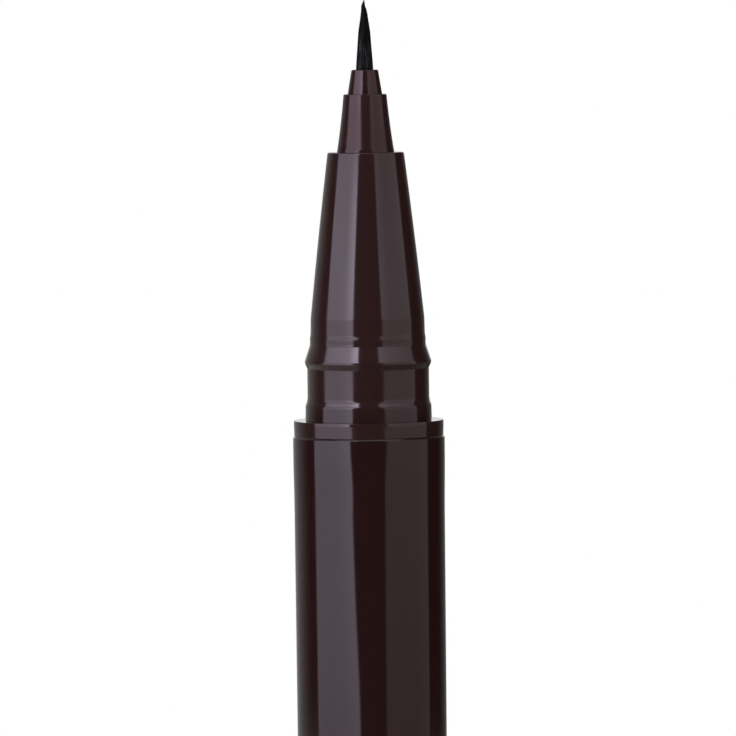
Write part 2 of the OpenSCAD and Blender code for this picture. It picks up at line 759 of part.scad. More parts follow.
module brush() {
    cell_count = len(bristle_cells);
    grid_count = len(bundle_grid);
    root_start = grid_count;
    root_end = root_start + len(root_rings) * rim_points;
    levels = [for (cell = bristle_cells) len(bristle_levels(cell))];
    starts = [for (i = 0, s = root_end + 1; i < cell_count; s = s + 3 * levels[i] + 1, i = i + 1) s];
    points = concat(
        [for (p = bundle_grid) [p[0], p[1], bristle_z0]],
        [
            for (ring = root_rings) for (j = [0:rim_points - 1])
                let (a = 360 * j / rim_points) [ring[0] * cos(a), ring[0] * sin(a), ring[1]]
        ],
        [[0, 0, flange_z0]],
        [for (cell = bristle_cells) for (p = bristle_points(cell)) p]
    );
    root_faces = [
        for (m = [0:len(root_rings) - 1]) for (j = [0:rim_points - 1])
            let (
                g = (j + 1) % rim_points,
                top = m == 0 ? ring_start(bundle_rings) : root_start + (m - 1) * rim_points,
                low = root_start + m * rim_points
            )
            for (face = [[top + j, top + g, low + j], [top + g, low + g, low + j]]) face
    ];
    end_faces = [
        for (j = [0:rim_points - 1])
            let (low = root_end - rim_points) [root_end, low + j, low + (j + 1) % rim_points]
    ];
    faces = concat(
        root_faces,
        end_faces,
        [for (i = [0:cell_count - 1]) for (face = bristle_faces(bristle_cells[i], starts[i], levels[i])) face]
    );
    color(bristle_black) polyhedron(points = points, faces = faces);
}

// Cap pieces are drawn on their own axis and stood beside the pen with the mouth up.
module beside_pen() {
    translate([cap_stand_x, 0, 0]) children();
}

// Cap shell: the outer tube, open at both ends, drafted towards its closed end.
module cap_shell() {
    color(dark_gloss) beside_pen() revolve([
        [cap_bore_r, cap_flange_h],
        [cap_end_r - cap_rim, cap_flange_h],
        [cap_end_r, cap_flange_h + cap_rim],
        [mouth_r, cap_len - cap_rim],
        [mouth_r - cap_rim, cap_len],
        [cap_bore_r + cap_rim, cap_len],
        [cap_bore_r, cap_len - cap_rim]
    ]);
}

// Cap end: a rounded plug, the pair of the tail cap, with the spring's seat and pilot inside.
module cap_end() {
    hollow_r = liner_r - cap_spigot_wall;
    color(dark_gloss) beside_pen() revolve(concat(
        [[0, 0]],
        round_edge(cap_end_r - cap_edge_r, cap_edge_r, cap_edge_r, -90, 0),
        [
            [cap_end_r, cap_flange_h - cap_rim],
            [cap_end_r - cap_rim, cap_flange_h],
            [liner_r, cap_flange_h],
            [liner_r, cap_spigot_z1],
            [hollow_r, cap_spigot_z1],
            [hollow_r, cap_seat_h],
            [pilot_r, cap_seat_h],
            [pilot_r, cap_seat_h + pilot_h],
            [0, cap_seat_h + pilot_h]
        ]
    ));
}

// Cap liner: the sleeve that takes the neck's ring, with the ridge that clicks over the bead.
module cap_liner() {
    liner_z1 = cap_len - liner_set_back;
    half_flat = ridge_flat_h / 2;
    color(natural_resin) beside_pen() revolve([
        [liner_bore_r, cap_spigot_z1],
        [liner_r, cap_spigot_z1],
        [liner_r, liner_z1],
        [liner_bore_r + liner_lead, liner_z1],
        [liner_bore_r, liner_z1 - liner_lead],
        [liner_bore_r, ridge_z + half_flat + ridge_rise],
        [ridge_r, ridge_z + half_flat],
        [ridge_r, ridge_z - half_flat],
        [liner_bore_r, ridge_z - half_flat - ridge_rise]
    ]);
}

// Inner cap: a cup that seals on the front section's land, with guide ribs and a pilot for the spring.
module inner_cap() {
    floor_z = inner_z0 + inner_end_h;
    taper_z0 = inner_z1 - seal_bore_h - inner_taper_len;
    body_z1 = inner_z1 - guide_band_len;
    rib_r0 = inner_body_r - inner_wall / 2;
    rib_len = body_z1 + inner_end_h - floor_z;
    echo(gap_round_cone = inner_bore_r - cone_tip_r);
    color(natural_resin) beside_pen() union() {
        revolve([
            [0, inner_z0 - pilot_h],
            [pilot_r, inner_z0 - pilot_h],
            [pilot_r, inner_z0],
            [inner_body_r, inner_z0],
            [inner_body_r, taper_z0],
            [guide_r, body_z1],
            [guide_r, inner_z1],
            [seal_bore_r, inner_z1],
            [seal_bore_r, inner_z1 - seal_bore_h],
            [inner_bore_r, taper_z0],
            [inner_bore_r, floor_z],
            [0, floor_z]
        ]);
        for (i = [0:guide_ribs - 1]) rotate([0, 0, 360 * i / guide_ribs])
            translate([rib_r0, -guide_rib_w / 2, floor_z])
            cube([guide_r - guide_rib_relief - rib_r0, guide_rib_w, rib_len]);
    }
}

// Cap spring: one unbroken tube wound along a helix between the cap end's seat and the inner cap.
coil_rings = 8;
wire_sides = 6;
spring_z0 = cap_seat_h + wire_d / 2 + seat_gap;
spring_z1 = inner_z0 - wire_d / 2 - seat_gap;
coil_steps = coil_rings * coil_turns;

function coil_point(i) = let (a = 360 * i / coil_rings)
    [coil_r * cos(a), coil_r * sin(a), mix(spring_z0, spring_z1, i / coil_steps)];

// Ring of the wire at step i, in the plane of the axis, so the tube's sides run straight from ring to ring
function wire_ring(i) = let (a = 360 * i / coil_rings, c = coil_point(i)) [
    for (k = [0:wire_sides - 1]) let (b = 360 * k / wire_sides, w = wire_d / 2)
        [c[0] + w * cos(b) * cos(a), c[1] + w * cos(b) * sin(a), c[2] + w * sin(b)]
];

coil_gap = min([
    for (i = [0:coil_steps]) for (j = [i + coil_rings / 2:coil_steps])
        norm(coil_point(i) - coil_point(j)) - wire_d
]);

module cap_spring() {
    points = [for (i = [0:coil_steps]) for (p = wire_ring(i)) p];
    sides = [
        for (i = [0:coil_steps - 1]) for (k = [0:wire_sides - 1])
            let (g = (k + 1) % wire_sides, lo = i * wire_sides, hi = lo + wire_sides)
            for (face = [[lo + k, lo + g, hi + g], [lo + k, hi + g, hi + k]]) face
    ];
    last = coil_steps * wire_sides;
    ends = [
        for (k = [1:wire_sides - 2]) for (face = [[0, k + 1, k], [last, last + k, last + k + 1]]) face
    ];
    echo(least_coil_gap = coil_gap);
    color(steel_grey) beside_pen() polyhedron(points = points, faces = concat(sides, ends));
}

tail_cap();
barrel();
ink_tank();
tank_plug();
tank_seal();
mixing_ball();
collar();
neck();
front_section();
collector();
feed_core();
nozzle();
ferrule();
brush();
brush_retainer();
cap_shell();
cap_end();
cap_liner();
inner_cap();
cap_spring();
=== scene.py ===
# %% [markdown]
# A liquid eyeliner pen, uncapped and standing on its tail, in a plain white studio. Its cap
# stands beside it, mouth up, just outside the camera's view.
#
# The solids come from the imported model, in metres, with +Z from the tail to the brush tip. They
# are the fixed frame: this script dresses them, and never moves them. Almost every piece of the
# pen is turned about one axis, so the main tool here is a lathe written with numpy.

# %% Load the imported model
import math

import bpy
import numpy as np
from mathutils import Matrix, Vector


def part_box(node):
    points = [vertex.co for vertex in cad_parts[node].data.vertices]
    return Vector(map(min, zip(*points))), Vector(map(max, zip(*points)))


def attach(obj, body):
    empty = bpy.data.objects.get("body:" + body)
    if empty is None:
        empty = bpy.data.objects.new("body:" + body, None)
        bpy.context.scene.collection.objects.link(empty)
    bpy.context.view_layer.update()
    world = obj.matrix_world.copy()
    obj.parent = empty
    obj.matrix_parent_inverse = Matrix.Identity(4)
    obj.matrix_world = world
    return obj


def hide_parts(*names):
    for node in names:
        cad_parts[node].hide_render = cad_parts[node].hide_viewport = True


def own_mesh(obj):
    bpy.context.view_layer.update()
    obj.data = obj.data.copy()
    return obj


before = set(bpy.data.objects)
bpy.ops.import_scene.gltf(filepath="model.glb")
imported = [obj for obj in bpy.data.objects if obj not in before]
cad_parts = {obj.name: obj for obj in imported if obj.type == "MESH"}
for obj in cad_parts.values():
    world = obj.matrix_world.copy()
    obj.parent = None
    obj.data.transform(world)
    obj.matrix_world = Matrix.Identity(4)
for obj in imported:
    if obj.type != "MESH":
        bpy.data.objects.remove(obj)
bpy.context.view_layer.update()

MM = 0.001

print("pieces in the model:", ", ".join(sorted(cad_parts)))

# %% [markdown]
# The photograph was taken with a long lens, from a little above, and shows only the front part
# of the pen, which leans in it by about two thirds of a degree. A camera could be turned and
# moved by hand until it fits. Here it is placed by the point it looks at, its distance, its
# elevation and its roll, and the lens follows from the width of the picture at the pen, so that
# each of these can be set from the photograph by itself.

# %% Camera
VIEW_HEIGHT = 104.73 * MM
VIEW_SIDE = -0.007 * MM
VIEW_DISTANCE = 600 * MM
VIEW_ELEVATION = math.radians(3.0)
VIEW_ROLL = math.radians(0.654)
VIEW_WIDTH = 51.4 * MM
VIEW_NEAR, VIEW_FAR = 10 * MM, 100
SENSOR_WIDTH = 36.0


def place_camera():
    """A camera at the end of a line from the target, whose up is turned by the roll."""
    target = Vector((VIEW_SIDE, 0, VIEW_HEIGHT))
    back = Vector((0, -math.cos(VIEW_ELEVATION), math.sin(VIEW_ELEVATION)))
    level = Vector((1, 0, 0))
    raised = back.cross(level)
    up = raised * math.cos(VIEW_ROLL) + level * math.sin(VIEW_ROLL)
    right = up.cross(back)
    data = bpy.data.cameras.new("camera")
    data.sensor_width = SENSOR_WIDTH
    data.lens = SENSOR_WIDTH * VIEW_DISTANCE / VIEW_WIDTH
    data.clip_start, data.clip_end = VIEW_NEAR, VIEW_FAR
    camera = bpy.data.objects.new("camera", data)
    turned = Matrix((right, up, back)).transposed().to_4x4()
    camera.matrix_world = Matrix.Translation(target + back * VIEW_DISTANCE) @ turned
    bpy.context.scene.collection.objects.link(camera)
    return camera


bpy.context.scene.camera = place_camera()
bpy.context.scene.view_settings.view_transform = "Standard"
print("lens in mm:", round(bpy.context.scene.camera.data.lens, 1))

# %% [markdown]
# A node graph is easier to read when each node is one line. The first two helpers make a node
# and give its inputs a number or another node's output. The others are the few kinds of node
# that the lights and the materials here use again and again.

# %% Helpers for node graphs
def feed(tree, value, node, socket):
    """Gives a node's input a fixed value, or joins another node's output to it."""
    if isinstance(value, bpy.types.NodeSocket):
        tree.links.new(value, node.inputs[socket])
    else:
        node.inputs[socket].default_value = value


def add(tree, kind, settings=None, **inputs):
    """A new node. Settings are its own properties, and inputs are fed to its sockets by name."""
    made = tree.nodes.new(kind)
    for name, value in (settings or {}).items():
        setattr(made, name, value)
    for name, value in inputs.items():
        feed(tree, value, made, name.replace("_", " "))
    return made


def empty_graph(owner, output):
    """Clears the nodes of a material or a world, and gives its graph and a new output node."""
    owner.use_nodes = True
    owner.node_tree.nodes.clear()
    return owner.node_tree, add(owner.node_tree, output)


def math_node(tree, operation, *values):
    """A Math node on up to three values, each of them a number or an output."""
    made = add(tree, "ShaderNodeMath", {"operation": operation})
    for place, value in enumerate(values):
        feed(tree, value, made, place)
    return made.outputs[0]


def vector_node(tree, operation, vector, other=None):
    """A Vector Math node on a vector and, where it takes one, another vector or a scale."""
    made = add(tree, "ShaderNodeVectorMath", {"operation": operation})
    feed(tree, vector, made, 0)
    if other is not None:
        feed(tree, other, made, "Scale" if operation == "SCALE" else 1)
    return made.outputs["Value" if operation == "LENGTH" else "Vector"]


# %% Helpers for mixing, easing and noise
def blend(tree, kind, factor, a, b):
    """A where the factor is 0 and b where it is 1. The kind is FLOAT, VECTOR or RGBA."""
    return add(tree, "ShaderNodeMix", {"data_type": kind}, Factor=factor, A=a, B=b).outputs["Result"]


def smooth_step(tree, value, low, high):
    """A Map Range node that eases from 0 at the low value to 1 at the high one."""
    return add(tree, "ShaderNodeMapRange", {"interpolation_type": "SMOOTHSTEP"},
               Value=value, From_Min=low, From_Max=high).outputs["Result"]


def noise(tree, where, scale, detail, roughness):
    """Smooth noise about 0.5, with that many finer octaves, each weaker by the roughness."""
    return add(tree, "ShaderNodeTexNoise", Vector=where, Scale=scale, Detail=detail,
               Roughness=roughness).outputs[0]


def ramp(tree, value, levels):
    """A Color Ramp node of greys, from pairs of a place from 0 to 1 and a level."""
    made = add(tree, "ShaderNodeValToRGB", Fac=value)
    stops = made.color_ramp.elements
    while len(stops) < len(levels):
        stops.new(0.5)
    for stop, (place, level) in zip(stops, levels):
        stop.position = place
        stop.color = (level, level, level, 1)
    return made.outputs["Color"]


# %% [markdown]
# Every surface here is a grid of points worked out by a formula, all at once as one array. Blender
# has modifiers that make such grids too, but a formula can be read, and gives the same mesh each
# time. These helpers join a grid's points by quads and put them into an object.

# %% Helpers for meshes
OTHER_WAY = [0, 3, 2, 1]


def grid_faces(rows, columns, closed_rows=False, closed_columns=True):
    """Quads (i, j), (i, j + 1), (i + 1, j + 1), (i + 1, j), where point (i, j) is number i times
    columns + j. Where a way is closed, its last line is joined to its first."""
    i, j = np.meshgrid(np.arange(rows if closed_rows else rows - 1),
                       np.arange(columns if closed_columns else columns - 1), indexing="ij")
    up, on = (i + 1) % rows, (j + 1) % columns
    corners = [i * columns + j, i * columns + on, up * columns + on, up * columns + j]
    return np.stack(corners, axis=-1).reshape(-1, 4)


def around(radius, height, angle):
    """Points (radius times cos angle, radius times sin angle, height), a row for each height."""
    x, y = radius * np.cos(angle), radius * np.sin(angle)
    return np.stack([x, y, np.broadcast_to(height, x.shape)], axis=-1).reshape(-1, 3)


def new_object(name, points, faces, smooth=True):
    """An object at the origin, from an array of points in metres and a list of faces."""
    mesh = bpy.data.meshes.new(name)
    mesh.from_pydata(points.reshape(-1, 3).tolist(), [], faces)
    mesh.polygons.foreach_set("use_smooth", [smooth] * len(mesh.polygons))
    made = bpy.data.objects.new(name, mesh)
    bpy.context.scene.collection.objects.link(made)
    return made


def give_values(piece, name, values):
    """One number for each point of a piece, which its material reads by that name."""
    attribute = piece.data.attributes.new(name, "FLOAT", "POINT")
    attribute.data.foreach_set("value", values.ravel().astype(np.float32))


def ease(t):
    """Smooth step from 0 to 1: three t squared less two t cubed, with t kept between 0 and 1."""
    t = np.clip(t, 0, 1)
    return t * t * (3 - 2 * t)


# %% [markdown]
# Glossy plastic is nearly black by itself: what shows is the studio in it. In the photograph two
# tall soft lights stand close to the pen, left and right of the camera, the left one much
# brighter, with a dark gap between them where the camera is. Behind the pen all is white.
#
# An area light is a flat rectangle, and can't follow the curved edges of the bands. So each light
# is a strip of an upright cylinder round the pen, cut along lines of azimuth, because a turned
# piece shows exactly that: azimuth across it, and height along it. The dark gap is widest level
# with the neck and the foot of the cone, and narrows above and below, which is why the bands on
# the barrel lean in as they go down. The glow is strongest along the inner edge and falls off
# outwards. Diffuse surfaces get less of it, so that the resin stays dark.

# %% Soft lights: how one is made
LIGHT_RADIUS = 150 * MM
LIGHT_LOW, LIGHT_TOP = 34, 270
LIGHT_SOFT_EDGE = 3.0
LIGHT_SOFT_END = 25.0
LIGHT_COLUMNS, LIGHT_ROWS = 72, 56
HOT_WIDTH = 24.0
DIFFUSE_SHARE = 0.45
INNER_SOFTNESS = ((151, 3.0), (157, 10.0), (164, 10.0), (168, 3.0))


def by_height(table, height):
    """A value that a table of (height in mm, value) gives, straight between its rows."""
    return np.interp(height, *zip(*table))


def light_material(name, tint):
    """Emission in the tint, as strong as the glow, times DIFFUSE_SHARE for diffuse rays."""
    material = bpy.data.materials.new(name)
    tree, out = empty_graph(material, "ShaderNodeOutputMaterial")
    glow = add(tree, "ShaderNodeAttribute", {"attribute_name": "glow"}).outputs["Fac"]
    diffuse = add(tree, "ShaderNodeLightPath").outputs["Is Diffuse Ray"]
    share = math_node(tree, "MULTIPLY_ADD", diffuse, DIFFUSE_SHARE - 1, 1.0)
    emission = add(tree, "ShaderNodeEmission", Color=(*tint, 1),
                   Strength=math_node(tree, "MULTIPLY", glow, share))
    feed(tree, emission.outputs[0], out, "Surface")
    material.cycles.emission_sampling = "NONE"
    return material


def soft_light(name, side, inner_edge, outer_edge, plateau, hot, fall, tint):
    """A light on one side (-1 left, 1 right): a grid of columns u from the inner to the outer
    edge, and rows of height.

    Azimuth = inner edge at that height + u times what is left to the outer edge. Glow =
    (plateau times (1 - fall times u) + hot times an ease that ends HOT_WIDTH degrees from the
    inner edge), times soft edges and soft ends. INNER_SOFTNESS gives the inner edge's width of
    ease by height."""
    u = np.linspace(0, 1, LIGHT_COLUMNS)[None, :]
    height = np.linspace(LIGHT_LOW, LIGHT_TOP, LIGHT_ROWS)[:, None]
    inner, outer = by_height(inner_edge, height), by_height(outer_edge, height)
    azimuth = inner + (outer - inner) * u
    edges = (ease((azimuth - inner) / by_height(INNER_SOFTNESS, height))
             * ease((outer - azimuth) / LIGHT_SOFT_EDGE))
    ends = ease((height - LIGHT_LOW) / LIGHT_SOFT_END) * ease((LIGHT_TOP - height) / LIGHT_SOFT_END)
    near = ease(1 - (azimuth - inner) / HOT_WIDTH)
    glow = (by_height(plateau, height) * (1 - fall * u) + by_height(hot, height) * near) * edges * ends
    turn = np.radians(side * azimuth)
    x, y = LIGHT_RADIUS * np.sin(turn), -LIGHT_RADIUS * np.cos(turn)
    faces = grid_faces(LIGHT_ROWS, LIGHT_COLUMNS, closed_columns=False)
    panel = new_object(name, np.stack([x, y, height * MM + 0 * turn], axis=-1), faces.tolist(), smooth=False)
    give_values(panel, "glow", glow)
    panel.data.materials.append(light_material(name, tint))
    panel.visible_camera = False
    panel.visible_shadow = False
    print(name, "glows up to", round(float(glow.max()), 2))


# %% Soft lights: left and right
# Each row of a table is a height in mm and its value: degrees for an edge, strength for a glow.
soft_light(
    "soft_light_left", -1,
    inner_edge=((62, 15.2), (67, 16.0), (71, 18.0), (75, 21.2), (80, 23.0), (88, 25.6), (92, 27.4),
                (97, 27.4), (102, 27.6), (132, 28.0), (140, 25.2), (148, 21.8), (151, 20.5),
                (157, 14.5), (164, 14.5), (168, 16.3), (176, 16.3), (186, 17.5), (200, 18.8)),
    outer_edge=((62, 91.5), (132, 92.0), (150, 89.0), (164, 89.0), (168, 95.5), (178, 95.5), (200, 88.0)),
    plateau=((40, 1.3), (62, 1.4), (72, 1.7), (88, 1.87), (93, 2.08), (97, 2.05), (102, 1.9), (106, 2.3),
             (134, 2.9), (150, 2.5), (164, 2.55), (168, 3.2), (176, 3.4), (200, 4.0)),
    hot=((62, 0.05), (85, 0.2), (97, 0.45), (102, 0.4), (108, 0.7), (134, 2.1), (147, 1.9), (153, 0.2),
         (156, 0.0), (164, 0.0), (168, 1.2), (176, 1.8), (200, 3.6)),
    fall=0.28, tint=(1.0, 0.90, 1.1))
soft_light(
    "soft_light_right", 1,
    inner_edge=((62, 21.2), (75, 21.0), (83, 22.0), (90, 24.7), (97, 28.4), (103, 28.4), (132, 26.6),
                (140, 24.6), (148, 24.4), (151, 24.0), (157, 20.0), (164, 20.0), (168, 18.5),
                (176, 18.5), (200, 19.8)),
    outer_edge=((62, 101.0), (164, 98.0), (168, 101.5), (200, 101.0)),
    plateau=((62, 0.38), (72, 0.42), (85, 0.50), (97, 0.58), (134, 0.85), (150, 0.70), (156, 0.62),
             (173, 0.80), (200, 1.35)),
    hot=((70, 0.0), (97, 0.0), (134, 0.3), (150, 0.3), (200, 0.4)),
    fall=0.05, tint=(1.0, 0.90, 1.0))

# %% [markdown]
# The sky does three jobs, and Light Path tells it which. To the camera it is plain white, which
# is the background. To a glossy surface it is the rest of the studio: dark between the lights,
# grey at their backs, a white sweep straight behind the pen, and a soft light overhead that draws
# the rounded edges. To everything else it is a fill that lifts the shadows, weak from all round
# and stronger from the front and from above. A picture of a studio could be wrapped round the
# scene instead, but a few levels by direction are easier to tune.

# %% Sky
SKY_FILL = 0.15
FRONT_FILL, FRONT_FROM, FRONT_FULL = 1.02, 0.45, 0.9
TOP_FILL, TOP_FROM, TOP_FULL = 1.0, 0.3, 0.8
SKY_OVERHEAD = 0.8
OVERHEAD_FROM, OVERHEAD_FULL = 0.84, 0.95
SWEEP_FROM, SWEEP_FULL = 0.90, 0.98
HORIZON_FROM, HORIZON_FULL = -0.01, 0.03
STUDIO_BY_AZIMUTH = ((-180, 0.40), (-157, 0.36), (-137, 0.28), (-124, 0.20), (-112, 0.06), (-103, 0.0),
                     (127, 0.0), (137, 0.04), (152, 0.12), (166, 0.20), (180, 0.40))


def make_sky():
    """World shader: 1 for what the camera sees, also through glass. Otherwise the studio for
    glossy rays and the fill for all others.

    Studio = the greatest of a grey by azimuth, the light overhead and the sweep. Fill = SKY_FILL
    + shares of FRONT_FILL and TOP_FILL by how far the ray points ahead and up."""
    world = bpy.data.worlds.new("sky")
    bpy.context.scene.world = world
    tree, out = empty_graph(world, "ShaderNodeOutputWorld")
    path = add(tree, "ShaderNodeLightPath").outputs
    where = add(tree, "ShaderNodeTexCoord").outputs["Generated"]
    way = add(tree, "ShaderNodeSeparateXYZ", Vector=where).outputs
    front = math_node(tree, "MULTIPLY", way["Y"], -1.0)
    turn = math_node(tree, "ARCTAN2", way["X"], front)
    share = math_node(tree, "MULTIPLY_ADD", turn, 0.5 / math.pi, 0.5)
    round_pen = ramp(tree, share, [(azimuth / 360 + 0.5, level) for azimuth, level in STUDIO_BY_AZIMUTH])
    above = smooth_step(tree, way["Z"], OVERHEAD_FROM, OVERHEAD_FULL)
    studio = math_node(tree, "MAXIMUM", round_pen, math_node(tree, "MULTIPLY", above, SKY_OVERHEAD))
    sweep = math_node(tree, "MULTIPLY", smooth_step(tree, way["Y"], SWEEP_FROM, SWEEP_FULL),
                      smooth_step(tree, way["Z"], HORIZON_FROM, HORIZON_FULL))
    studio = math_node(tree, "MAXIMUM", studio, sweep)
    ahead = smooth_step(tree, front, FRONT_FROM, FRONT_FULL)
    high = smooth_step(tree, way["Z"], TOP_FROM, TOP_FULL)
    fill = math_node(tree, "MULTIPLY_ADD", high, TOP_FILL, SKY_FILL)
    fill = math_node(tree, "MULTIPLY_ADD", ahead, FRONT_FILL, fill)
    seen = blend(tree, "FLOAT", path["Is Glossy Ray"], fill, studio)
    plain = math_node(tree, "MAXIMUM", path["Is Camera Ray"], path["Is Transmission Ray"])
    level = blend(tree, "FLOAT", plain, seen, 1.0)
    background = add(tree, "ShaderNodeBackground", Color=(1, 1, 1, 1), Strength=level)
    feed(tree, background.outputs[0], out, "Surface")
    print("sky:", len(tree.nodes), "nodes")


make_sky()

# %% [markdown]
# The floor is a pale disc that the pen and its cap stand on. A plane with an edge would show a
# horizon. So the disc is a real surface near them, where it takes their shadow, and fades into
# the white background further out. In a reflection it is not lit but glows with a painted light,
# as bright as the light on that side of the pen: pale at the left, dim at the right and dark between.

# %% Floor
FLOOR_RADIUS = 800 * MM
FLOOR_FADE_FROM, FLOOR_FADE_TO = 60 * MM, 330 * MM
FLOOR_RINGS, FLOOR_SIDES = 24, 96
FLOOR_PAPER = (0.88, 0.88, 0.89, 1)
# Levels of the painted light that the floor glows with in reflections, from its left side to its right.
FLOOR_GLOW_BY_SIDE = ((-1.0, 0.45), (-0.50, 0.45), (-0.30, 0.03), (0.40, 0.03), (0.60, 0.12), (1.0, 0.12))


def mix_shaders(tree, factor, first, second):
    """The first shader where the factor is 0, and the second where it is 1."""
    made = add(tree, "ShaderNodeMixShader", Fac=factor)
    feed(tree, first.outputs[0], made, 1)
    feed(tree, second.outputs[0], made, 2)
    return made


def floor_material():
    """Paper, and for the camera white further out. For glossy rays, a painted light: a grey glow by x over
    radius.
    """
    material = bpy.data.materials.new("floor")
    tree, out = empty_graph(material, "ShaderNodeOutputMaterial")
    path = add(tree, "ShaderNodeLightPath").outputs
    where = add(tree, "ShaderNodeTexCoord").outputs["Object"]
    radius = vector_node(tree, "LENGTH", where)
    far = smooth_step(tree, radius, FLOOR_FADE_FROM, FLOOR_FADE_TO)
    paper = add(tree, "ShaderNodeBsdfDiffuse", Color=FLOOR_PAPER)
    white = add(tree, "ShaderNodeEmission", Color=(1, 1, 1, 1), Strength=1.0)
    seen = mix_shaders(tree, math_node(tree, "MULTIPLY", far, path["Is Camera Ray"]), paper, white)
    across = add(tree, "ShaderNodeSeparateXYZ", Vector=where).outputs["X"]
    side = math_node(tree, "DIVIDE", across, radius)
    share = math_node(tree, "MULTIPLY_ADD", side, 0.5, 0.5)
    # For glossy rays the floor glows with this painted light by side instead of being lit.
    grey = ramp(tree, share, [((place + 1) / 2, level) for place, level in FLOOR_GLOW_BY_SIDE])
    painted_spill = add(tree, "ShaderNodeEmission", Color=(1, 1, 1, 1), Strength=grey)
    mirrored = mix_shaders(tree, path["Is Glossy Ray"], seen, painted_spill)
    feed(tree, mirrored.outputs[0], out, "Surface")
    return material


def make_floor():
    """A disc of rings and spokes at the height of the pen's tail face."""
    radius = FLOOR_RADIUS * np.linspace(0, 1, FLOOR_RINGS + 1)[1:, None]
    angle = np.linspace(0, 2 * np.pi, FLOOR_SIDES, endpoint=False)[None, :]
    points = np.concatenate([np.zeros((1, 3)), around(radius, 0, angle)])
    spoke = np.arange(FLOOR_SIDES)
    centre = np.stack([0 * spoke, 1 + spoke, 1 + (spoke + 1) % FLOOR_SIDES], axis=1)
    quads = 1 + grid_faces(FLOOR_RINGS, FLOOR_SIDES)[:, OTHER_WAY]
    floor = new_object("floor", points, centre.tolist() + quads.tolist(), smooth=False)
    floor.data.materials.append(floor_material())
    print("floor:", len(floor.data.polygons), "faces")


make_floor()

# %% [markdown]
# Moulded plastic is never a perfect mirror. As it cools, its skin draws in by a few thousandths
# of a millimetre, in waves a few millimetres long, which makes the edges of its highlights
# wander a little. Handling leaves faint patches that are less polished. Photographs of a surface
# could show this, but only at their own scale. One node group works it out from a point on the
# piece instead, and every plastic of this object uses it with its own values.

# %% Group: moulded skin
RIPPLE_SHARE = 0.1
WORN_FROM, WORN_FULL = 0.45, 0.75


def new_effect(name, values):
    """A node group that takes a Position and named values and gives Height, Roughness and Tone."""
    group = bpy.data.node_groups.new(name, "ShaderNodeTree")
    face = group.interface
    face.new_socket("Position", in_out="INPUT", socket_type="NodeSocketVector")
    for socket, value in values.items():
        face.new_socket(socket, in_out="INPUT", socket_type="NodeSocketFloat").default_value = value
    for socket in ("Height", "Roughness", "Tone"):
        face.new_socket(socket, in_out="OUTPUT", socket_type="NodeSocketFloat")
    print("effect", name, "takes", ", ".join(values))
    return group, add(group, "NodeGroupInput").outputs, add(group, "NodeGroupOutput")


def end_effect(group, given, end, height, worn, tone):
    """Feeds the group's outputs. Roughness = polish + haze times how worn the place is."""
    rough = math_node(group, "ADD", given["Polish"], math_node(group, "MULTIPLY", worn, given["Haze"]))
    for socket, value in (("Height", height), ("Roughness", rough), ("Tone", tone)):
        feed(group, value, end, socket)
    return group


def make_moulded_skin():
    """Height = long waves + RIPPLE_SHARE of fine ripple. Wear and tone follow soft patches."""
    group, given, end = new_effect("moulded_skin", {"Wave length": 4 * MM, "Polish": 0.06, "Haze": 0.05})
    count = math_node(group, "DIVIDE", 1.0, given["Wave length"])
    scaled = vector_node(group, "SCALE", given["Position"], count)
    waves = noise(group, scaled, scale=1.0, detail=1.0, roughness=0.4)
    ripple = noise(group, scaled, scale=9.0, detail=2.0, roughness=0.5)
    patches = noise(group, scaled, scale=0.6, detail=4.0, roughness=0.6)
    height = math_node(group, "ADD", waves, math_node(group, "MULTIPLY", ripple, RIPPLE_SHARE))
    worn = smooth_step(group, patches, WORN_FROM, WORN_FULL)
    return end_effect(group, given, end, height, worn, patches)


MOULDED_SKIN = make_moulded_skin()

# %% [markdown]
# Wire and rod are drawn, so their finish runs along them: fine scratches on steel, and parallel
# fibres in the feed core and the brush. A texture of stripes would be too even. The second group
# stretches its noise along Z instead, so that no two streaks are alike.

# %% Group: drawn streaks
STREAK_STRETCH = 0.06


def make_drawn_streaks():
    """Streaks along Z: noise whose Z is shrunk, so that it changes slowly that way. Height, wear
    and tone all follow it."""
    group, given, end = new_effect("drawn_streaks", {"Streak width": 0.1 * MM, "Polish": 0.25, "Haze": 0.15})
    shrunk = vector_node(group, "MULTIPLY", given["Position"], (1, 1, STREAK_STRETCH))
    count = math_node(group, "DIVIDE", 1.0, given["Streak width"])
    scaled = vector_node(group, "SCALE", shrunk, count)
    streaks = noise(group, scaled, scale=1.0, detail=3.0, roughness=0.6)
    return end_effect(group, given, end, streaks, streaks, streaks)


DRAWN_STREAKS = make_drawn_streaks()

# %% [markdown]
# The pen has four dark browns. The barrel is the deepest and the most polished. The collar, the
# neck and the cone are a shade lighter. The nozzle and the ferrule are only half polished and
# their resin is warmer, so the lights in them are softer and redder. What sits inside is
# natural polypropylene, which is milky and has no colour added.
#
# Each finish could be a graph of its own. But they differ only in their values, so one function
# makes them all: a colour that runs from deep to light with the effect's tone, the effect, and
# how high its waves stand.

# %% Plastics, rubber, steel and fibre
def new_material(name):
    """A new material, its node graph and the Principled BSDF in it."""
    material = bpy.data.materials.new(name)
    material.use_nodes = True
    return material, material.node_tree, material.node_tree.nodes["Principled BSDF"]


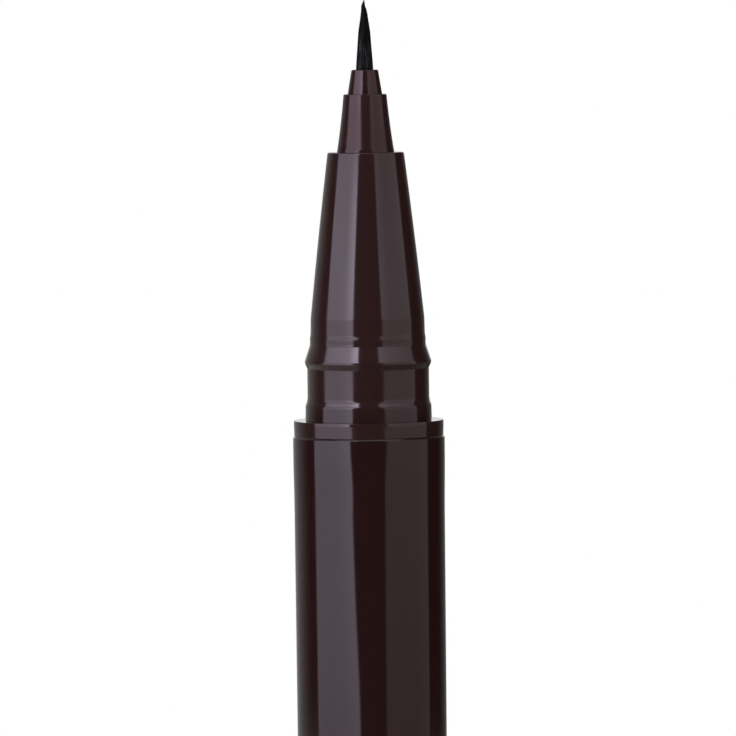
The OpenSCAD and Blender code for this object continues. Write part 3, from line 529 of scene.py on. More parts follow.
def finish(name, deep, light, effect, bump, metallic=0.0, ior=1.5, sheen=(1, 1, 1)):
    """A material whose colour runs from deep to light with the tone of its effect.

    Effect is a node group with its own values, bump is how high its waves stand, in metres, and
    sheen is the tint of its reflections."""
    material, tree, shader = new_material(name)
    group, values = effect
    where = add(tree, "ShaderNodeTexCoord").outputs["Object"]
    skin = add(tree, "ShaderNodeGroup", {"node_tree": group}, Position=where, **values).outputs
    relief = add(tree, "ShaderNodeBump", Distance=bump, Strength=1.0, Height=skin["Height"])
    colour = blend(tree, "RGBA", skin["Tone"], (*deep, 1), (*light, 1))
    for socket, value in (("Metallic", metallic), ("IOR", ior), ("Specular Tint", (*sheen, 1)),
                          ("Base Color", colour), ("Roughness", skin["Roughness"]),
                          ("Normal", relief.outputs["Normal"])):
        feed(tree, value, shader, socket)
    print("finish:", name)
    return material


def moulded(wave_length, polish, haze):
    """Moulded skin, with the length of its waves, its least roughness and what patches add."""
    return MOULDED_SKIN, {"Wave length": wave_length, "Polish": polish, "Haze": haze}


def drawn(streak_width, polish, haze):
    """Drawn streaks, with their width, their least roughness and what they add to it."""
    return DRAWN_STREAKS, {"Streak width": streak_width, "Polish": polish, "Haze": haze}


BARREL_BROWN = finish("barrel_gloss", (0.0160, 0.0060, 0.0058), (0.0185, 0.0072, 0.0070),
                      moulded(7 * MM, 0.07, 0.05), bump=4e-6)
FRONT_BROWN = finish("section_gloss", (0.0230, 0.0101, 0.0096), (0.0265, 0.0119, 0.0114),
                     moulded(4 * MM, 0.08, 0.06), bump=3e-6)
NOZZLE_BROWN = finish("nozzle_satin", (0.0230, 0.0107, 0.0104), (0.0265, 0.0127, 0.0124),
                      moulded(1.6 * MM, 0.14, 0.06), bump=2e-6, sheen=(0.88, 0.74, 0.71))
FERRULE_BROWN = finish("ferrule_satin", (0.0190, 0.0082, 0.0080), (0.0225, 0.0098, 0.0096),
                       moulded(1.0 * MM, 0.14, 0.06), bump=2e-6, sheen=(1.0, 0.86, 0.87))
NATURAL_RESIN = finish("natural_resin", (0.66, 0.64, 0.59), (0.74, 0.72, 0.67),
                       moulded(5 * MM, 0.38, 0.12), bump=6e-6)
SEAL_RUBBER = finish("seal_rubber", (0.045, 0.045, 0.048), (0.060, 0.060, 0.063),
                     moulded(0.8 * MM, 0.62, 0.12), bump=4e-6, ior=1.45)
STEEL = finish("steel", (0.50, 0.51, 0.53), (0.60, 0.61, 0.62),
               drawn(0.08 * MM, 0.16, 0.2), bump=1e-6, metallic=1.0)
FEED_FIBRE = finish("feed_fibre", (0.62, 0.58, 0.49), (0.80, 0.77, 0.68),
                    drawn(0.06 * MM, 0.7, 0.2), bump=8e-6)

# %% [markdown]
# A turned piece is an outline carried round an axis. The outline is a list of corners, each with
# the radius of its rounding, because no moulded edge is sharp: it is the rounding that catches
# the light and draws the seam lines in the photograph. The Bevel and Screw modifiers could round
# and turn it too, but would give every corner one rounding, and no say over the normals.
#
# A smooth-shaded mesh averages the directions of the faces at each point, which would smear the
# tiny roundings over the long flat sides beside them. So each point gets its exact normal
# instead: square to the line through its two neighbours on the outline. A long side then wins
# over a short one, and stays straight.

# %% Outline of a turned piece
ARC_STEPS = 6
# Roundings in mm, from an edge that meets another piece to an open corner inside.
HAIR, TIGHT, SNUG, EDGE, BLUNT, SOFT, ROUND = 0.01, 0.02, 0.03, 0.05, 0.08, 0.1, 0.2


def rounded(corners):
    """Outline through the corners (r, z, rounding) in mm. A rounding of 0 keeps the corner.

    Each rounding is an arc that touches both sides: it starts at rounding times the tangent
    of half the turn away from the corner, and its centre lies square off both sides."""
    points = []
    for k, (r, z, rounding) in enumerate(corners):
        here = np.array([r, z], float)
        if rounding == 0:
            points.append(here)
            continue
        before = np.array(corners[k - 1][:2], float) - here
        after = np.array(corners[(k + 1) % len(corners)][:2], float) - here
        before, after = before / np.linalg.norm(before), after / np.linalg.norm(after)
        turn = math.pi - math.acos(np.clip(before @ after, -1, 1))
        reach = rounding * math.tan(turn / 2)
        middle = before + after
        centre = here + middle / np.linalg.norm(middle) * rounding / math.cos(turn / 2)
        first, last = here + before * reach - centre, here + after * reach - centre
        for t in np.linspace(0, 1, ARC_STEPS + 1):
            swing = first * math.sin((1 - t) * turn) + last * math.sin(t * turn)
            points.append(centre + swing / math.sin(turn))
    return np.array(points)


def outline_normals(outline, closed):
    """Normals of an outline walked with the piece on its left: the chord through the two
    neighbours, turned a quarter to the right."""
    if closed:
        chord = np.roll(outline, -1, axis=0) - np.roll(outline, 1, axis=0)
    else:
        chord = np.gradient(outline, axis=0)
    square = np.stack([chord[:, 1], -chord[:, 0]], axis=1)
    return square / np.linalg.norm(square, axis=1, keepdims=True)


print("a rounded corner has", ARC_STEPS + 1, "points, and its smallest radius in mm is", HAIR)

# %% The lathe
SIDES = 192


def lathe(name, corners, axis_x=0.0, swell=None):
    """A closed solid of revolution from corners in mm, round the vertical axis at axis_x metres.

    Point (i, j) = radius i at angle j. Where the outline starts and ends on the axis, each of
    its ends is one point with a fan of triangles. Swell gives what to add to the radius at each
    point, for ribs along the axis."""
    outline = rounded(corners) * MM
    poles = outline[0, 0] == 0
    slope = outline_normals(outline, closed=not poles)
    ring, level = (outline[1:-1], slope[1:-1]) if poles else (outline, slope)
    angle = np.linspace(0, 2 * np.pi, SIDES, endpoint=False)
    radius = ring[:, :1] + (0 if swell is None else swell(ring, angle))
    points = around(radius, ring[:, 1:], angle)
    normals = around(level[:, :1], level[:, 1:], angle)
    faces = grid_faces(len(ring), SIDES, closed_rows=not poles).tolist()
    if poles:
        low, last = len(points), len(points) - SIDES
        points = np.concatenate([points, [[0, 0, outline[0, 1]], [0, 0, outline[-1, 1]]]])
        normals = np.concatenate([normals, [[0, 0, math.copysign(1, slope[0, 1])],
                                            [0, 0, math.copysign(1, slope[-1, 1])]]])
        j = np.arange(SIDES)
        on = (j + 1) % SIDES
        faces += np.stack([0 * j + low, on, j], axis=1).tolist()
        faces += np.stack([0 * j + low + 1, last + j, last + on], axis=1).tolist()
    piece = new_object(name, points + [axis_x, 0, 0], faces)
    if swell is None:
        piece.data.normals_split_custom_set_from_vertices(normals.tolist())
    print(name, "is turned from", len(corners), "corners")
    return piece


# %% Volume, dressing and size
def volume(piece):
    """Volume in cubic mm, by adding up signed tetrahedra from the origin to each triangle."""
    mesh = piece.data
    mesh.calc_loop_triangles()
    corners = np.zeros(len(mesh.loop_triangles) * 3, int)
    mesh.loop_triangles.foreach_get("vertices", corners)
    points = np.zeros(len(mesh.vertices) * 3)
    mesh.vertices.foreach_get("co", points)
    a, b, c = points.reshape(-1, 3)[corners.reshape(-1, 3)].transpose(1, 0, 2)
    return float(np.einsum("ij,ij->i", a, np.cross(b, c)).sum() / 6 / MM ** 3)


def dress(piece, node, body, material):
    """Puts a finished piece in place of a node: its material, its body."""
    piece.data.materials.append(material)
    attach(piece, body)
    if node:
        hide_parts(node)
    print(f"{piece.name}: {len(piece.data.polygons)} faces, {volume(piece):.1f} cubic mm")
    return piece


def size(node, axis_x=0.0):
    """Lowest and highest z of a node and its largest radius round axis_x metres, all in mm."""
    low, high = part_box(node)
    return low.z / MM, high.z / MM, (high.x - axis_x) / MM


# %% [markdown]
# The barrel is a tube, straight at its tail, then 0.15 mm wider in radius by its waist, and it
# flares once more just below its mouth. Two cylinders could show it from far off, but the bands
# of light follow every change of slope. So the flare is half a cosine, which has no corner at
# either end. The mouth stands a fiftieth of a millimetre higher than the solid's, as in the
# photograph, and has a small bevel that draws the seam line. The tail cap closes the barrel
# below, with a rounded edge.

# %% Barrel and tail cap
BARREL_Z0, BARREL_TOP_Z, MOUTH_R = size("barrel")
TAIL_Z0, SPIGOT_Z1, TAIL_R = size("tail_cap")
BARREL_RISE = 0.02
BARREL_WALL = 0.6
BARREL_LAND = 28.0
FLARE_STEP = 0.045
FLARE_LENGTH = 5.6
FLARE_END = 1.05
SEAM_ROUNDING = 0.1
MOUTH_BEVEL = 0.1
MOUTH_ROUNDING = 0.04
TAIL_ROUNDING = 0.5
SPIGOT_WALL = 0.9
TAIL_FLOOR = 1.2
SLIP = 0.02

BARREL_Z1 = BARREL_TOP_Z + BARREL_RISE
BORE_R = TAIL_R - BARREL_WALL
SPIGOT_R = BORE_R - SLIP
SPIGOT_BORE_R = SPIGOT_R - SPIGOT_WALL


def eased_side(r0, z0, r1, z1, steps=16):
    """Corners along a side whose radius goes from r0 to r1 by half a cosine."""
    t = np.linspace(0, 1, steps + 1)
    return [(r0 + (r1 - r0) * (1 - math.cos(math.pi * s)) / 2, z0 + (z1 - z0) * s, 0) for s in t]


barrel = lathe("barrel_tube", [
    (BORE_R, BARREL_Z0, SNUG), (TAIL_R, BARREL_Z0, SEAM_ROUNDING), (TAIL_R, BARREL_Z0 + BARREL_LAND, 0),
    *eased_side(MOUTH_R - FLARE_STEP, BARREL_Z1 - FLARE_LENGTH, MOUTH_R, BARREL_Z1 - FLARE_END),
    (MOUTH_R, BARREL_Z1 - MOUTH_BEVEL, MOUTH_ROUNDING),
    (MOUTH_R - MOUTH_BEVEL, BARREL_Z1, TIGHT), (BORE_R, BARREL_Z1, SNUG)])
dress(barrel, "barrel", "pen", BARREL_BROWN)

tail = lathe("tail_cap_plug", [
    (0, TAIL_Z0, 0), (TAIL_R, TAIL_Z0, TAIL_ROUNDING), (TAIL_R, BARREL_Z0, SEAM_ROUNDING),
    (SPIGOT_R, BARREL_Z0, SNUG), (SPIGOT_R, SPIGOT_Z1, SOFT), (SPIGOT_BORE_R, SPIGOT_Z1, SOFT),
    (SPIGOT_BORE_R, TAIL_FLOOR, ROUND), (0, TAIL_FLOOR, 0)])
dress(tail, "tail_cap", "pen", BARREL_BROWN)

# %% [markdown]
# The collar is the ring that couples barrel and neck, and its sleeve goes down inside the
# barrel. A plain band would look flat here. Its side draws out by a fortieth of a millimetre
# towards its upper edge, and that edge stands a little higher than the solid's, as in the
# photograph.

# %% Collar
COLLAR_Z0, COLLAR_TOP_Z, LIP_R = size("collar")
COLLAR_RISE = 0.06
COLLAR_LIP = 0.025
COLLAR_BEVEL = 0.02
COLLAR_BEVEL_HEIGHT = 0.2
COLLAR_SIDE_ROUNDING = 0.3
COLLAR_EDGE_ROUNDING = 0.015
COLLAR_WALL = 0.43

COLLAR_Z1 = COLLAR_TOP_Z + COLLAR_RISE
COLLAR_R = LIP_R - COLLAR_LIP
SLEEVE_R = BORE_R - SLIP
COLLAR_BORE_R = SLEEVE_R - COLLAR_WALL

collar = lathe("collar_ring", [
    (COLLAR_BORE_R, COLLAR_Z0, EDGE), (SLEEVE_R, COLLAR_Z0, SOFT), (SLEEVE_R, BARREL_Z1, SNUG),
    (COLLAR_R, BARREL_Z1, EDGE), (LIP_R, COLLAR_Z1 - COLLAR_BEVEL_HEIGHT, COLLAR_SIDE_ROUNDING),
    (LIP_R - COLLAR_BEVEL, COLLAR_Z1, COLLAR_EDGE_ROUNDING), (COLLAR_BORE_R, COLLAR_Z1, EDGE)])
dress(collar, "collar", "pen", FRONT_BROWN)

# %% [markdown]
# The neck holds the cap. From the collar up it has the ring that fits the cap's mouth, a
# chamfer, the groove for the cap's snap ridge, the bead that the ridge clicks over, and a cone
# above the bead that starts the ridge off. Each could be a ring of its own, but then seams would
# show where the real moulding has none. So all of it is one turned outline.

# %% Neck
NECK_Z0, NECK_Z1, CAP_RING_R = size("neck")
SKIRT_Z0, CONE_Z1, FLANGE_R = size("front_section")
CAP_RING_HEIGHT = 1.06
CAP_RING_DRAFT = 0.025
RING_CHAMFER = 0.40
RING_ROUNDING = 0.8
CHAMFER_ROUNDING = 1.15
GROOVE_DEPTH = 0.168
GROOVE_HEIGHT = 2.21
GROOVE_ROUNDING = 0.25
BEAD_REACH = 0.158
BEAD_RISE = 0.37
BEAD_CROWN = 0.045
BEAD_ROUNDING = 0.45
FLARE_DROP = 0.357
NECK_WALL = 0.353
STEM_WALL = 0.58

RING_Z1 = COLLAR_Z1 + CAP_RING_HEIGHT
GROOVE_Z0 = RING_Z1 + RING_CHAMFER
BEAD_Z0 = GROOVE_Z0 + GROOVE_HEIGHT
GROOVE_R = CAP_RING_R - GROOVE_DEPTH
BEAD_R = GROOVE_R + BEAD_REACH
FLARE_TOP_R = BEAD_R - FLARE_DROP
STEM_R = COLLAR_BORE_R - SLIP
STEM_BORE_R = STEM_R - STEM_WALL
NECK_BORE_R = FLARE_TOP_R - NECK_WALL

neck = lathe("neck_turned", [
    (STEM_BORE_R, NECK_Z0, EDGE), (STEM_R, NECK_Z0, SOFT), (STEM_R, COLLAR_Z1, TIGHT),
    (CAP_RING_R, COLLAR_Z1, HAIR), (CAP_RING_R - CAP_RING_DRAFT, RING_Z1, RING_ROUNDING),
    (GROOVE_R, GROOVE_Z0, CHAMFER_ROUNDING), (GROOVE_R, BEAD_Z0, GROOVE_ROUNDING),
    (BEAD_R + BEAD_CROWN, BEAD_Z0 + BEAD_RISE, BEAD_ROUNDING), (FLARE_TOP_R, NECK_Z1, HAIR),
    (NECK_BORE_R, NECK_Z1, TIGHT), (NECK_BORE_R, SKIRT_Z0, TIGHT), (STEM_BORE_R, SKIRT_Z0, TIGHT)])
dress(neck, "neck", "pen", FRONT_BROWN)

# %% [markdown]
# The front section is the grip. A low flange with a soft bead rests on the neck, then comes the
# land that the inner cap seals on, and then the long cone. A straight cone would show straight
# bands, so its side bulges by three hundredths of a millimetre, as the photograph's does. Its
# front face stands back round the nozzle.

# %% Front section
NOZZLE_Z0, NOZZLE_Z1, NOZZLE_FLANGE_R = size("nozzle")
FERRULE_Z0, FERRULE_Z1, FERRULE_ROOT_R = size("ferrule")
FLANGE_HEIGHT = 0.74
# The foot, waist and bead of the flange's side: how far in, how far up, and the rounding.
FLANGE_SIDE = ((0.001, 0.0, HAIR), (0.012, 0.15, ROUND), (0.006, 0.47, 0.3))
LAND_STEP = 0.056
LAND_HEIGHT = 1.13
LAND_DRAFT = 0.025
LAND_ROUNDING = 0.6
CONE_CROWN = 0.03
CONE_FACE = 0.66
CONE_EDGE = 0.12
SKIRT_WALL = 0.5
NOZZLE_SEAT = 2.62
NOZZLE_FACE = 0.275
NOZZLE_TAPER = 0.5

LAND_R = FLANGE_R - LAND_STEP
LAND_Z0 = NECK_Z1 + FLANGE_HEIGHT
CONE_R, CONE_Z0 = LAND_R - LAND_DRAFT, LAND_Z0 + LAND_HEIGHT
NOZZLE_BORE_R = FERRULE_ROOT_R + SLIP
NOZZLE_TOP_R = NOZZLE_BORE_R + NOZZLE_FACE
NOZZLE_ROOT_R = NOZZLE_TOP_R + NOZZLE_TAPER
CONE_TIP_R = NOZZLE_ROOT_R + CONE_FACE
SKIRT_R = NECK_BORE_R - SLIP
SKIRT_BORE_R = SKIRT_R - SKIRT_WALL
SEAT_Z = CONE_Z1 - NOZZLE_SEAT


def bowed_side(r0, z0, r1, z1, crown, steps=16):
    """Corners along a side that bulges by crown at its middle: crown times four t (1 - t)."""
    t = np.linspace(0, 1, steps + 1)[1:-1]
    return [(r0 + (r1 - r0) * s + 4 * crown * s * (1 - s), z0 + (z1 - z0) * s, 0) for s in t]


section = lathe("front_section_cone", [
    (SKIRT_BORE_R, SKIRT_Z0, EDGE), (SKIRT_R, SKIRT_Z0, BLUNT), (SKIRT_R, NECK_Z1, TIGHT),
    *[(FLANGE_R - inset, NECK_Z1 + rise, rounding) for inset, rise, rounding in FLANGE_SIDE],
    (LAND_R, LAND_Z0, LAND_ROUNDING), (CONE_R, CONE_Z0, LAND_ROUNDING),
    *bowed_side(CONE_R, CONE_Z0, CONE_TIP_R, CONE_Z1, CONE_CROWN),
    (CONE_TIP_R, CONE_Z1, CONE_EDGE), (NOZZLE_ROOT_R + SLIP, CONE_Z1, TIGHT),
    (NOZZLE_ROOT_R + SLIP, SEAT_Z, TIGHT), (NOZZLE_FLANGE_R + SLIP, SEAT_Z, TIGHT),
    (SKIRT_BORE_R, CONE_Z0, 0)])
dress(section, "front_section", "pen", FRONT_BROWN)

# %% [markdown]
# The nozzle narrows out of the cone with a hollowed side, and the ferrule tapers out of the
# nozzle. A cone would do for either from outside. Both go on inside, though: the nozzle has a
# flange that is trapped under the cone's face, and the ferrule has a step in its bore that holds
# the brush by its root. An outline carries all that for a few more corners.

# %% Nozzle and ferrule
ROOT_Z0, TIP_Z, ROOT_FLANGE_R = size("brush")
NOZZLE_SAG = 0.037
NOZZLE_EDGE = 0.08
NOZZLE_FLANGE_HEIGHT = 1.0
NOZZLE_TAIL_WALL = 0.5
NOZZLE_WEB = 1.6
NOSE_BORE_R = 1.17
WEB_BORE_R = 0.56
FERRULE_TAPER = 0.28
FERRULE_EDGE = 0.1
FERRULE_LIP = 0.04
FERRULE_FACE = 0.303
FERRULE_STEP = 0.273
ROOT_FLANGE_HEIGHT = 0.6

NOSE_R = NOSE_BORE_R + NOZZLE_TAIL_WALL
NOZZLE_FLANGE_Z = SEAT_Z - NOZZLE_FLANGE_HEIGHT
WEB_Z = FERRULE_Z0 - NOZZLE_WEB
FERRULE_TOP_R = FERRULE_ROOT_R - FERRULE_TAPER
FERRULE_BORE_R = FERRULE_TOP_R - FERRULE_FACE
FERRULE_CORE_R = FERRULE_BORE_R + FERRULE_STEP
ROOT_Z = ROOT_Z0 + ROOT_FLANGE_HEIGHT

nozzle = lathe("nozzle_turned", [
    (NOSE_BORE_R, NOZZLE_Z0, EDGE), (NOSE_R, NOZZLE_Z0, BLUNT), (NOSE_R, NOZZLE_FLANGE_Z, EDGE),
    (NOZZLE_FLANGE_R, NOZZLE_FLANGE_Z, EDGE), (NOZZLE_FLANGE_R, SEAT_Z, SNUG),
    (NOZZLE_ROOT_R, SEAT_Z, TIGHT), (NOZZLE_ROOT_R, CONE_Z1, 0),
    *bowed_side(NOZZLE_ROOT_R, CONE_Z1, NOZZLE_TOP_R, NOZZLE_Z1, -NOZZLE_SAG),
    (NOZZLE_TOP_R, NOZZLE_Z1, NOZZLE_EDGE), (NOZZLE_BORE_R, NOZZLE_Z1, TIGHT),
    (NOZZLE_BORE_R, FERRULE_Z0, TIGHT), (WEB_BORE_R, FERRULE_Z0, TIGHT),
    (WEB_BORE_R, WEB_Z, TIGHT), (NOSE_BORE_R, WEB_Z, TIGHT)])
dress(nozzle, "nozzle", "pen", NOZZLE_BROWN)

ferrule = lathe("ferrule_sleeve", [
    (FERRULE_CORE_R, FERRULE_Z0, TIGHT), (FERRULE_ROOT_R, FERRULE_Z0, EDGE),
    (FERRULE_ROOT_R, NOZZLE_Z1, TIGHT), (FERRULE_TOP_R, FERRULE_Z1, FERRULE_EDGE),
    (FERRULE_BORE_R, FERRULE_Z1, FERRULE_LIP), (FERRULE_BORE_R, ROOT_Z, TIGHT),
    (FERRULE_CORE_R, ROOT_Z, TIGHT)])
dress(ferrule, "ferrule", "pen", FERRULE_BROWN)

# %% [markdown]
# The brush is the one soft piece. Real filaments are tapered, welded together at the root and
# ground so that the outer ones end first, which gives the fine point. Hair particles could grow
# them, but would cross each other. Here each bristle keeps its place in the bundle from root to
# end: the places come from the sunflower pattern, one golden angle after another at the square
# root of the count, which fills a disc evenly. The bundle's width then shrinks with height, and
# near the tip it leans a little to one side.
#
# All bristles are computed at once, as one array of bristle by ring by side.

# %% Brush: bristles
BRISTLES = 640
BRISTLE_SIDES = 5
BRISTLE_RINGS = 9
RING_SPREAD = 0.85
BRISTLE_FILL = 1.12
BRISTLE_SINK = 0.36
STAGGER = 0.42
END_CHANCE = 0.03
GATHER_AT = (0.0, 0.09, 0.4, 0.75, 0.9, 1.0)
GATHER_TO = (1.0, 1.0, 0.80, 0.63, 0.58, 0.40)
GOLDEN_ANGLE = math.pi * (3 - math.sqrt(5))
STRAY = 0.25
END_TAPER = 0.55
TIP_LEAN = 0.060
TIP_LEAN_AT, TIP_LEAN_SPAN = 0.925, 0.045
BRUSH_SEED = 11

BRISTLE_Z0 = FERRULE_Z1 - BRISTLE_SINK
ROOT_R = FERRULE_BORE_R - SLIP


def make_brush():
    """Bristle k: place = root radius times sqrt((k + 1/2) / count), at k golden angles.

    Its end = 1 - stagger times (place share) squared, less a little chance. At share s of its
    height its centre is its place times the gather at s, plus a slight bow of its own, and near
    the tip all lean to one side by a bell curve. Its thickness follows the gather, and tapers
    by END_TAPER at its end. Each bristle has a tone of its own from 0 to 1."""
    chance = np.random.default_rng(BRUSH_SEED)
    k = np.arange(BRISTLES)
    share = np.sqrt((k + 0.5) / BRISTLES)
    angle = k * GOLDEN_ANGLE
    end = 1 - STAGGER * share ** 2 - END_CHANCE * share * chance.random(BRISTLES)
    along = np.linspace(0, 1, BRISTLE_RINGS)[None, :] ** RING_SPREAD * end[:, None]
    gather = np.interp(along, GATHER_AT, GATHER_TO)
    spacing = ROOT_R * math.sqrt(math.pi / BRISTLES)
    bow = STRAY * spacing * np.sin(math.pi * along / end[:, None])
    bow_angle = 2 * np.pi * chance.random(BRISTLES)[:, None]
    reach = (ROOT_R - spacing / 2 * BRISTLE_FILL) * share[:, None] * gather
    lean = TIP_LEAN * np.exp(-((along - TIP_LEAN_AT) / TIP_LEAN_SPAN) ** 2)
    x = reach * np.cos(angle)[:, None] + bow * np.cos(bow_angle) - lean
    y = reach * np.sin(angle)[:, None] + bow * np.sin(bow_angle)
    z = BRISTLE_Z0 + (TIP_Z - BRISTLE_Z0) * along
    taper = 1 - END_TAPER * (along / end[:, None]) ** 3
    thick = spacing / 2 * BRISTLE_FILL * gather * taper
    side = (np.arange(BRISTLE_SIDES) / BRISTLE_SIDES * 2 * np.pi)[None, None, :] + angle[:, None, None]
    points = np.stack([x[:, :, None] + thick[:, :, None] * np.cos(side),
                       y[:, :, None] + thick[:, :, None] * np.sin(side),
                       np.broadcast_to(z[:, :, None], (BRISTLES, BRISTLE_RINGS, BRISTLE_SIDES))], axis=-1)
    per = BRISTLE_RINGS * BRISTLE_SIDES
    corner = np.arange(BRISTLE_SIDES)
    ends = np.stack([corner[::-1], per - BRISTLE_SIDES + corner])
    first = (k * per)[:, None, None]
    faces = (grid_faces(BRISTLE_RINGS, BRISTLE_SIDES) + first).reshape(-1, 4).tolist()
    faces += (ends + first).reshape(-1, BRISTLE_SIDES).tolist()
    piece = new_object("brush_bristles", points * MM, faces)
    give_values(piece, "tone", np.repeat(chance.random(BRISTLES), per))
    return piece


# %% [markdown]
# The filament is black and soaked with ink. Each bristle in one flat black would look like a solid
# spike, so a few bristles and streaks, picked at random, are painted a lighter grey as a painted
# sheen, and this painted sheen fades towards the tip. The ink also bridges the bristles: light
# falls on it partly as on one smooth cone, which the shading normal brings about without more geometry.

# %% Brush: finish and root
BRISTLE_IOR = 1.17
BRISTLE_BLACK = (0.0020, 0.0020, 0.0023, 1)
# The grey is a painted sheen, given to a few bristles and streaks.
BRISTLE_SHEEN_GREY = (0.0490, 0.0502, 0.0546, 1)
INK_FILM = 0.55
OWN_FROM, OWN_FULL = 0.0, 0.8
STREAK_FROM, STREAK_FULL = 0.44, 0.60
STREAK_SHIFT = 0.6 * MM
# Over these heights the painted sheen fades towards the tip, by this share.
SHEEN_FADE_FROM_Z, SHEEN_FADE_TO_Z = TIP_Z - 3.0, TIP_Z - 1.9
SHEEN_FADE_SHARE = 0.8


def bristle_finish():
    """Colour = from black to a painted sheen grey, by the bristle's own tone times the streaks',
    less most of it near the tip, where the painted sheen fades.

    Normal = from the bristle's own to the way straight out from the axis, by INK_FILM."""
    material, tree, shader = new_material("bristle_black")
    where = add(tree, "ShaderNodeTexCoord").outputs["Object"]
    level = vector_node(tree, "MULTIPLY", where, (1, 1, 0))
    own = add(tree, "ShaderNodeNewGeometry").outputs["Normal"]
    bent = blend(tree, "VECTOR", INK_FILM, own, vector_node(tree, "NORMALIZE", level))
    shifted = vector_node(tree, "ADD", where, (STREAK_SHIFT, 0, 0))
    streaks = add(tree, "ShaderNodeGroup", {"node_tree": DRAWN_STREAKS}, Position=shifted,
                  Streak_width=0.14 * MM, Polish=0.34, Haze=0.14).outputs
    tone = add(tree, "ShaderNodeAttribute", {"attribute_name": "tone"}).outputs["Fac"]
    # Painted sheen: a lighter grey where both the bristle's own tone and the streaks pick it.
    light = math_node(tree, "MULTIPLY", smooth_step(tree, tone, OWN_FROM, OWN_FULL),
                      smooth_step(tree, streaks["Tone"], STREAK_FROM, STREAK_FULL))
    height = add(tree, "ShaderNodeSeparateXYZ", Vector=where).outputs["Z"]
    # The painted sheen fades out towards the tip.
    sheen_fade = smooth_step(tree, height, SHEEN_FADE_FROM_Z * MM, SHEEN_FADE_TO_Z * MM)
    light = math_node(tree, "MULTIPLY", light, math_node(tree, "MULTIPLY_ADD", sheen_fade, -SHEEN_FADE_SHARE, 1.0))
    for socket, value in (("IOR", BRISTLE_IOR), ("Roughness", streaks["Roughness"]),
                          ("Base Color", blend(tree, "RGBA", light, BRISTLE_BLACK, BRISTLE_SHEEN_GREY)),
                          ("Normal", vector_node(tree, "NORMALIZE", bent))):
        feed(tree, value, shader, socket)
    return material


BRISTLE_INK = bristle_finish()
dress(make_brush(), "brush", "pen", BRISTLE_INK)
root = lathe("brush_root", [
    (0, ROOT_Z0, 0), (ROOT_FLANGE_R, ROOT_Z0, EDGE), (ROOT_FLANGE_R, ROOT_Z, EDGE), (ROOT_R, ROOT_Z, TIGHT),
    (ROOT_R, BRISTLE_Z0, TIGHT), (0, BRISTLE_Z0, 0)])
dress(root, None, "pen", BRISTLE_INK)

# %% [markdown]
# The cap stands beside the pen with its mouth up. Its outer tube and end plug match the barrel.
# Inside the tube sits a milky liner with the ridge that snaps behind the neck's bead, and in
# the liner slides the inner cap, a cup that keeps the brush from drying. One solid with a hole
# would pass for a closed cap, but this one is seen into, so each of its pieces is turned.

# %% Cap: tube, end plug and liner
CAP_X = (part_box("cap_shell")[0].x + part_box("cap_shell")[1].x) / 2
SHELL_Z0, CAP_Z1, CAP_R = size("cap_shell", CAP_X)
END_Z0, END_Z1, CAP_END_R = size("cap_end", CAP_X)
LINER_Z0, LINER_Z1, LINER_R = size("cap_liner", CAP_X)
INNER_Z0, INNER_Z1, GUIDE_R = size("inner_cap", CAP_X)
CAP_EDGE = 0.6
CAP_MOUTH_OUTSIDE, CAP_MOUTH_INSIDE = 0.15, 0.12
CAP_SEAT = 1.8
PILOT_R = 2.0
PILOT_HEIGHT = 0.8
PILOT_ROUNDING = 0.15
CAP_SPIGOT_WALL = 1.0
SLIDE_GAP = 0.08
RIDGE_GRIP = 0.08
RIDGE_FLAT = 0.2
RIM_GAP = 0.05
LINER_LEAD = 0.2

CAP_BORE_R = LINER_R + SLIP
END_HOLLOW_R = LINER_R - CAP_SPIGOT_WALL
PILOT_Z = CAP_SEAT + PILOT_HEIGHT
LINER_BORE_R = GUIDE_R + SLIDE_GAP
RIDGE_R = BEAD_R - RIDGE_GRIP
RIDGE_RISE = LINER_BORE_R - RIDGE_R
RIDGE_Z = INNER_Z1 + RIM_GAP + RIDGE_RISE + RIDGE_FLAT / 2
RIDGE_LOW, RIDGE_HIGH = RIDGE_Z - RIDGE_FLAT / 2, RIDGE_Z + RIDGE_FLAT / 2

shell = lathe("cap_tube", [
    (CAP_BORE_R, SHELL_Z0, SNUG), (CAP_END_R, SHELL_Z0, BLUNT), (CAP_R, CAP_Z1, CAP_MOUTH_OUTSIDE),
    (CAP_BORE_R, CAP_Z1, CAP_MOUTH_INSIDE)], CAP_X)
dress(shell, "cap_shell", "cap", BARREL_BROWN)

end = lathe("cap_end_plug", [
    (0, END_Z0, 0), (CAP_END_R, END_Z0, CAP_EDGE), (CAP_END_R, SHELL_Z0, BLUNT), (LINER_R, SHELL_Z0, SNUG),
    (LINER_R, END_Z1, SOFT), (END_HOLLOW_R, END_Z1, SOFT), (END_HOLLOW_R, CAP_SEAT, SOFT),
    (PILOT_R, CAP_SEAT, EDGE), (PILOT_R, PILOT_Z, PILOT_ROUNDING), (0, PILOT_Z, 0)], CAP_X)
dress(end, "cap_end", "cap", BARREL_BROWN)

liner = lathe("cap_liner_sleeve", [
    (LINER_BORE_R, LINER_Z0, EDGE), (LINER_R, LINER_Z0, EDGE), (LINER_R, LINER_Z1, BLUNT),
    (LINER_BORE_R + LINER_LEAD, LINER_Z1, EDGE), (LINER_BORE_R, LINER_Z1 - LINER_LEAD, BLUNT),
    (LINER_BORE_R, RIDGE_HIGH + RIDGE_RISE, EDGE), (RIDGE_R, RIDGE_HIGH, BLUNT),
    (RIDGE_R, RIDGE_LOW, BLUNT), (LINER_BORE_R, RIDGE_LOW - RIDGE_RISE, EDGE)], CAP_X)
dress(liner, "cap_liner", "cap", NATURAL_RESIN)

# %% [markdown]
# The inner cap has six guide ribs along its side. They could be boxes joined on by a boolean,
# which leaves ragged faces. On the lathe they are a swell: the radius of the outline grows by
# the rib's reach, but only where the rib runs and only at the angles of the six ribs. So the cup
# and its ribs are one closed surface.

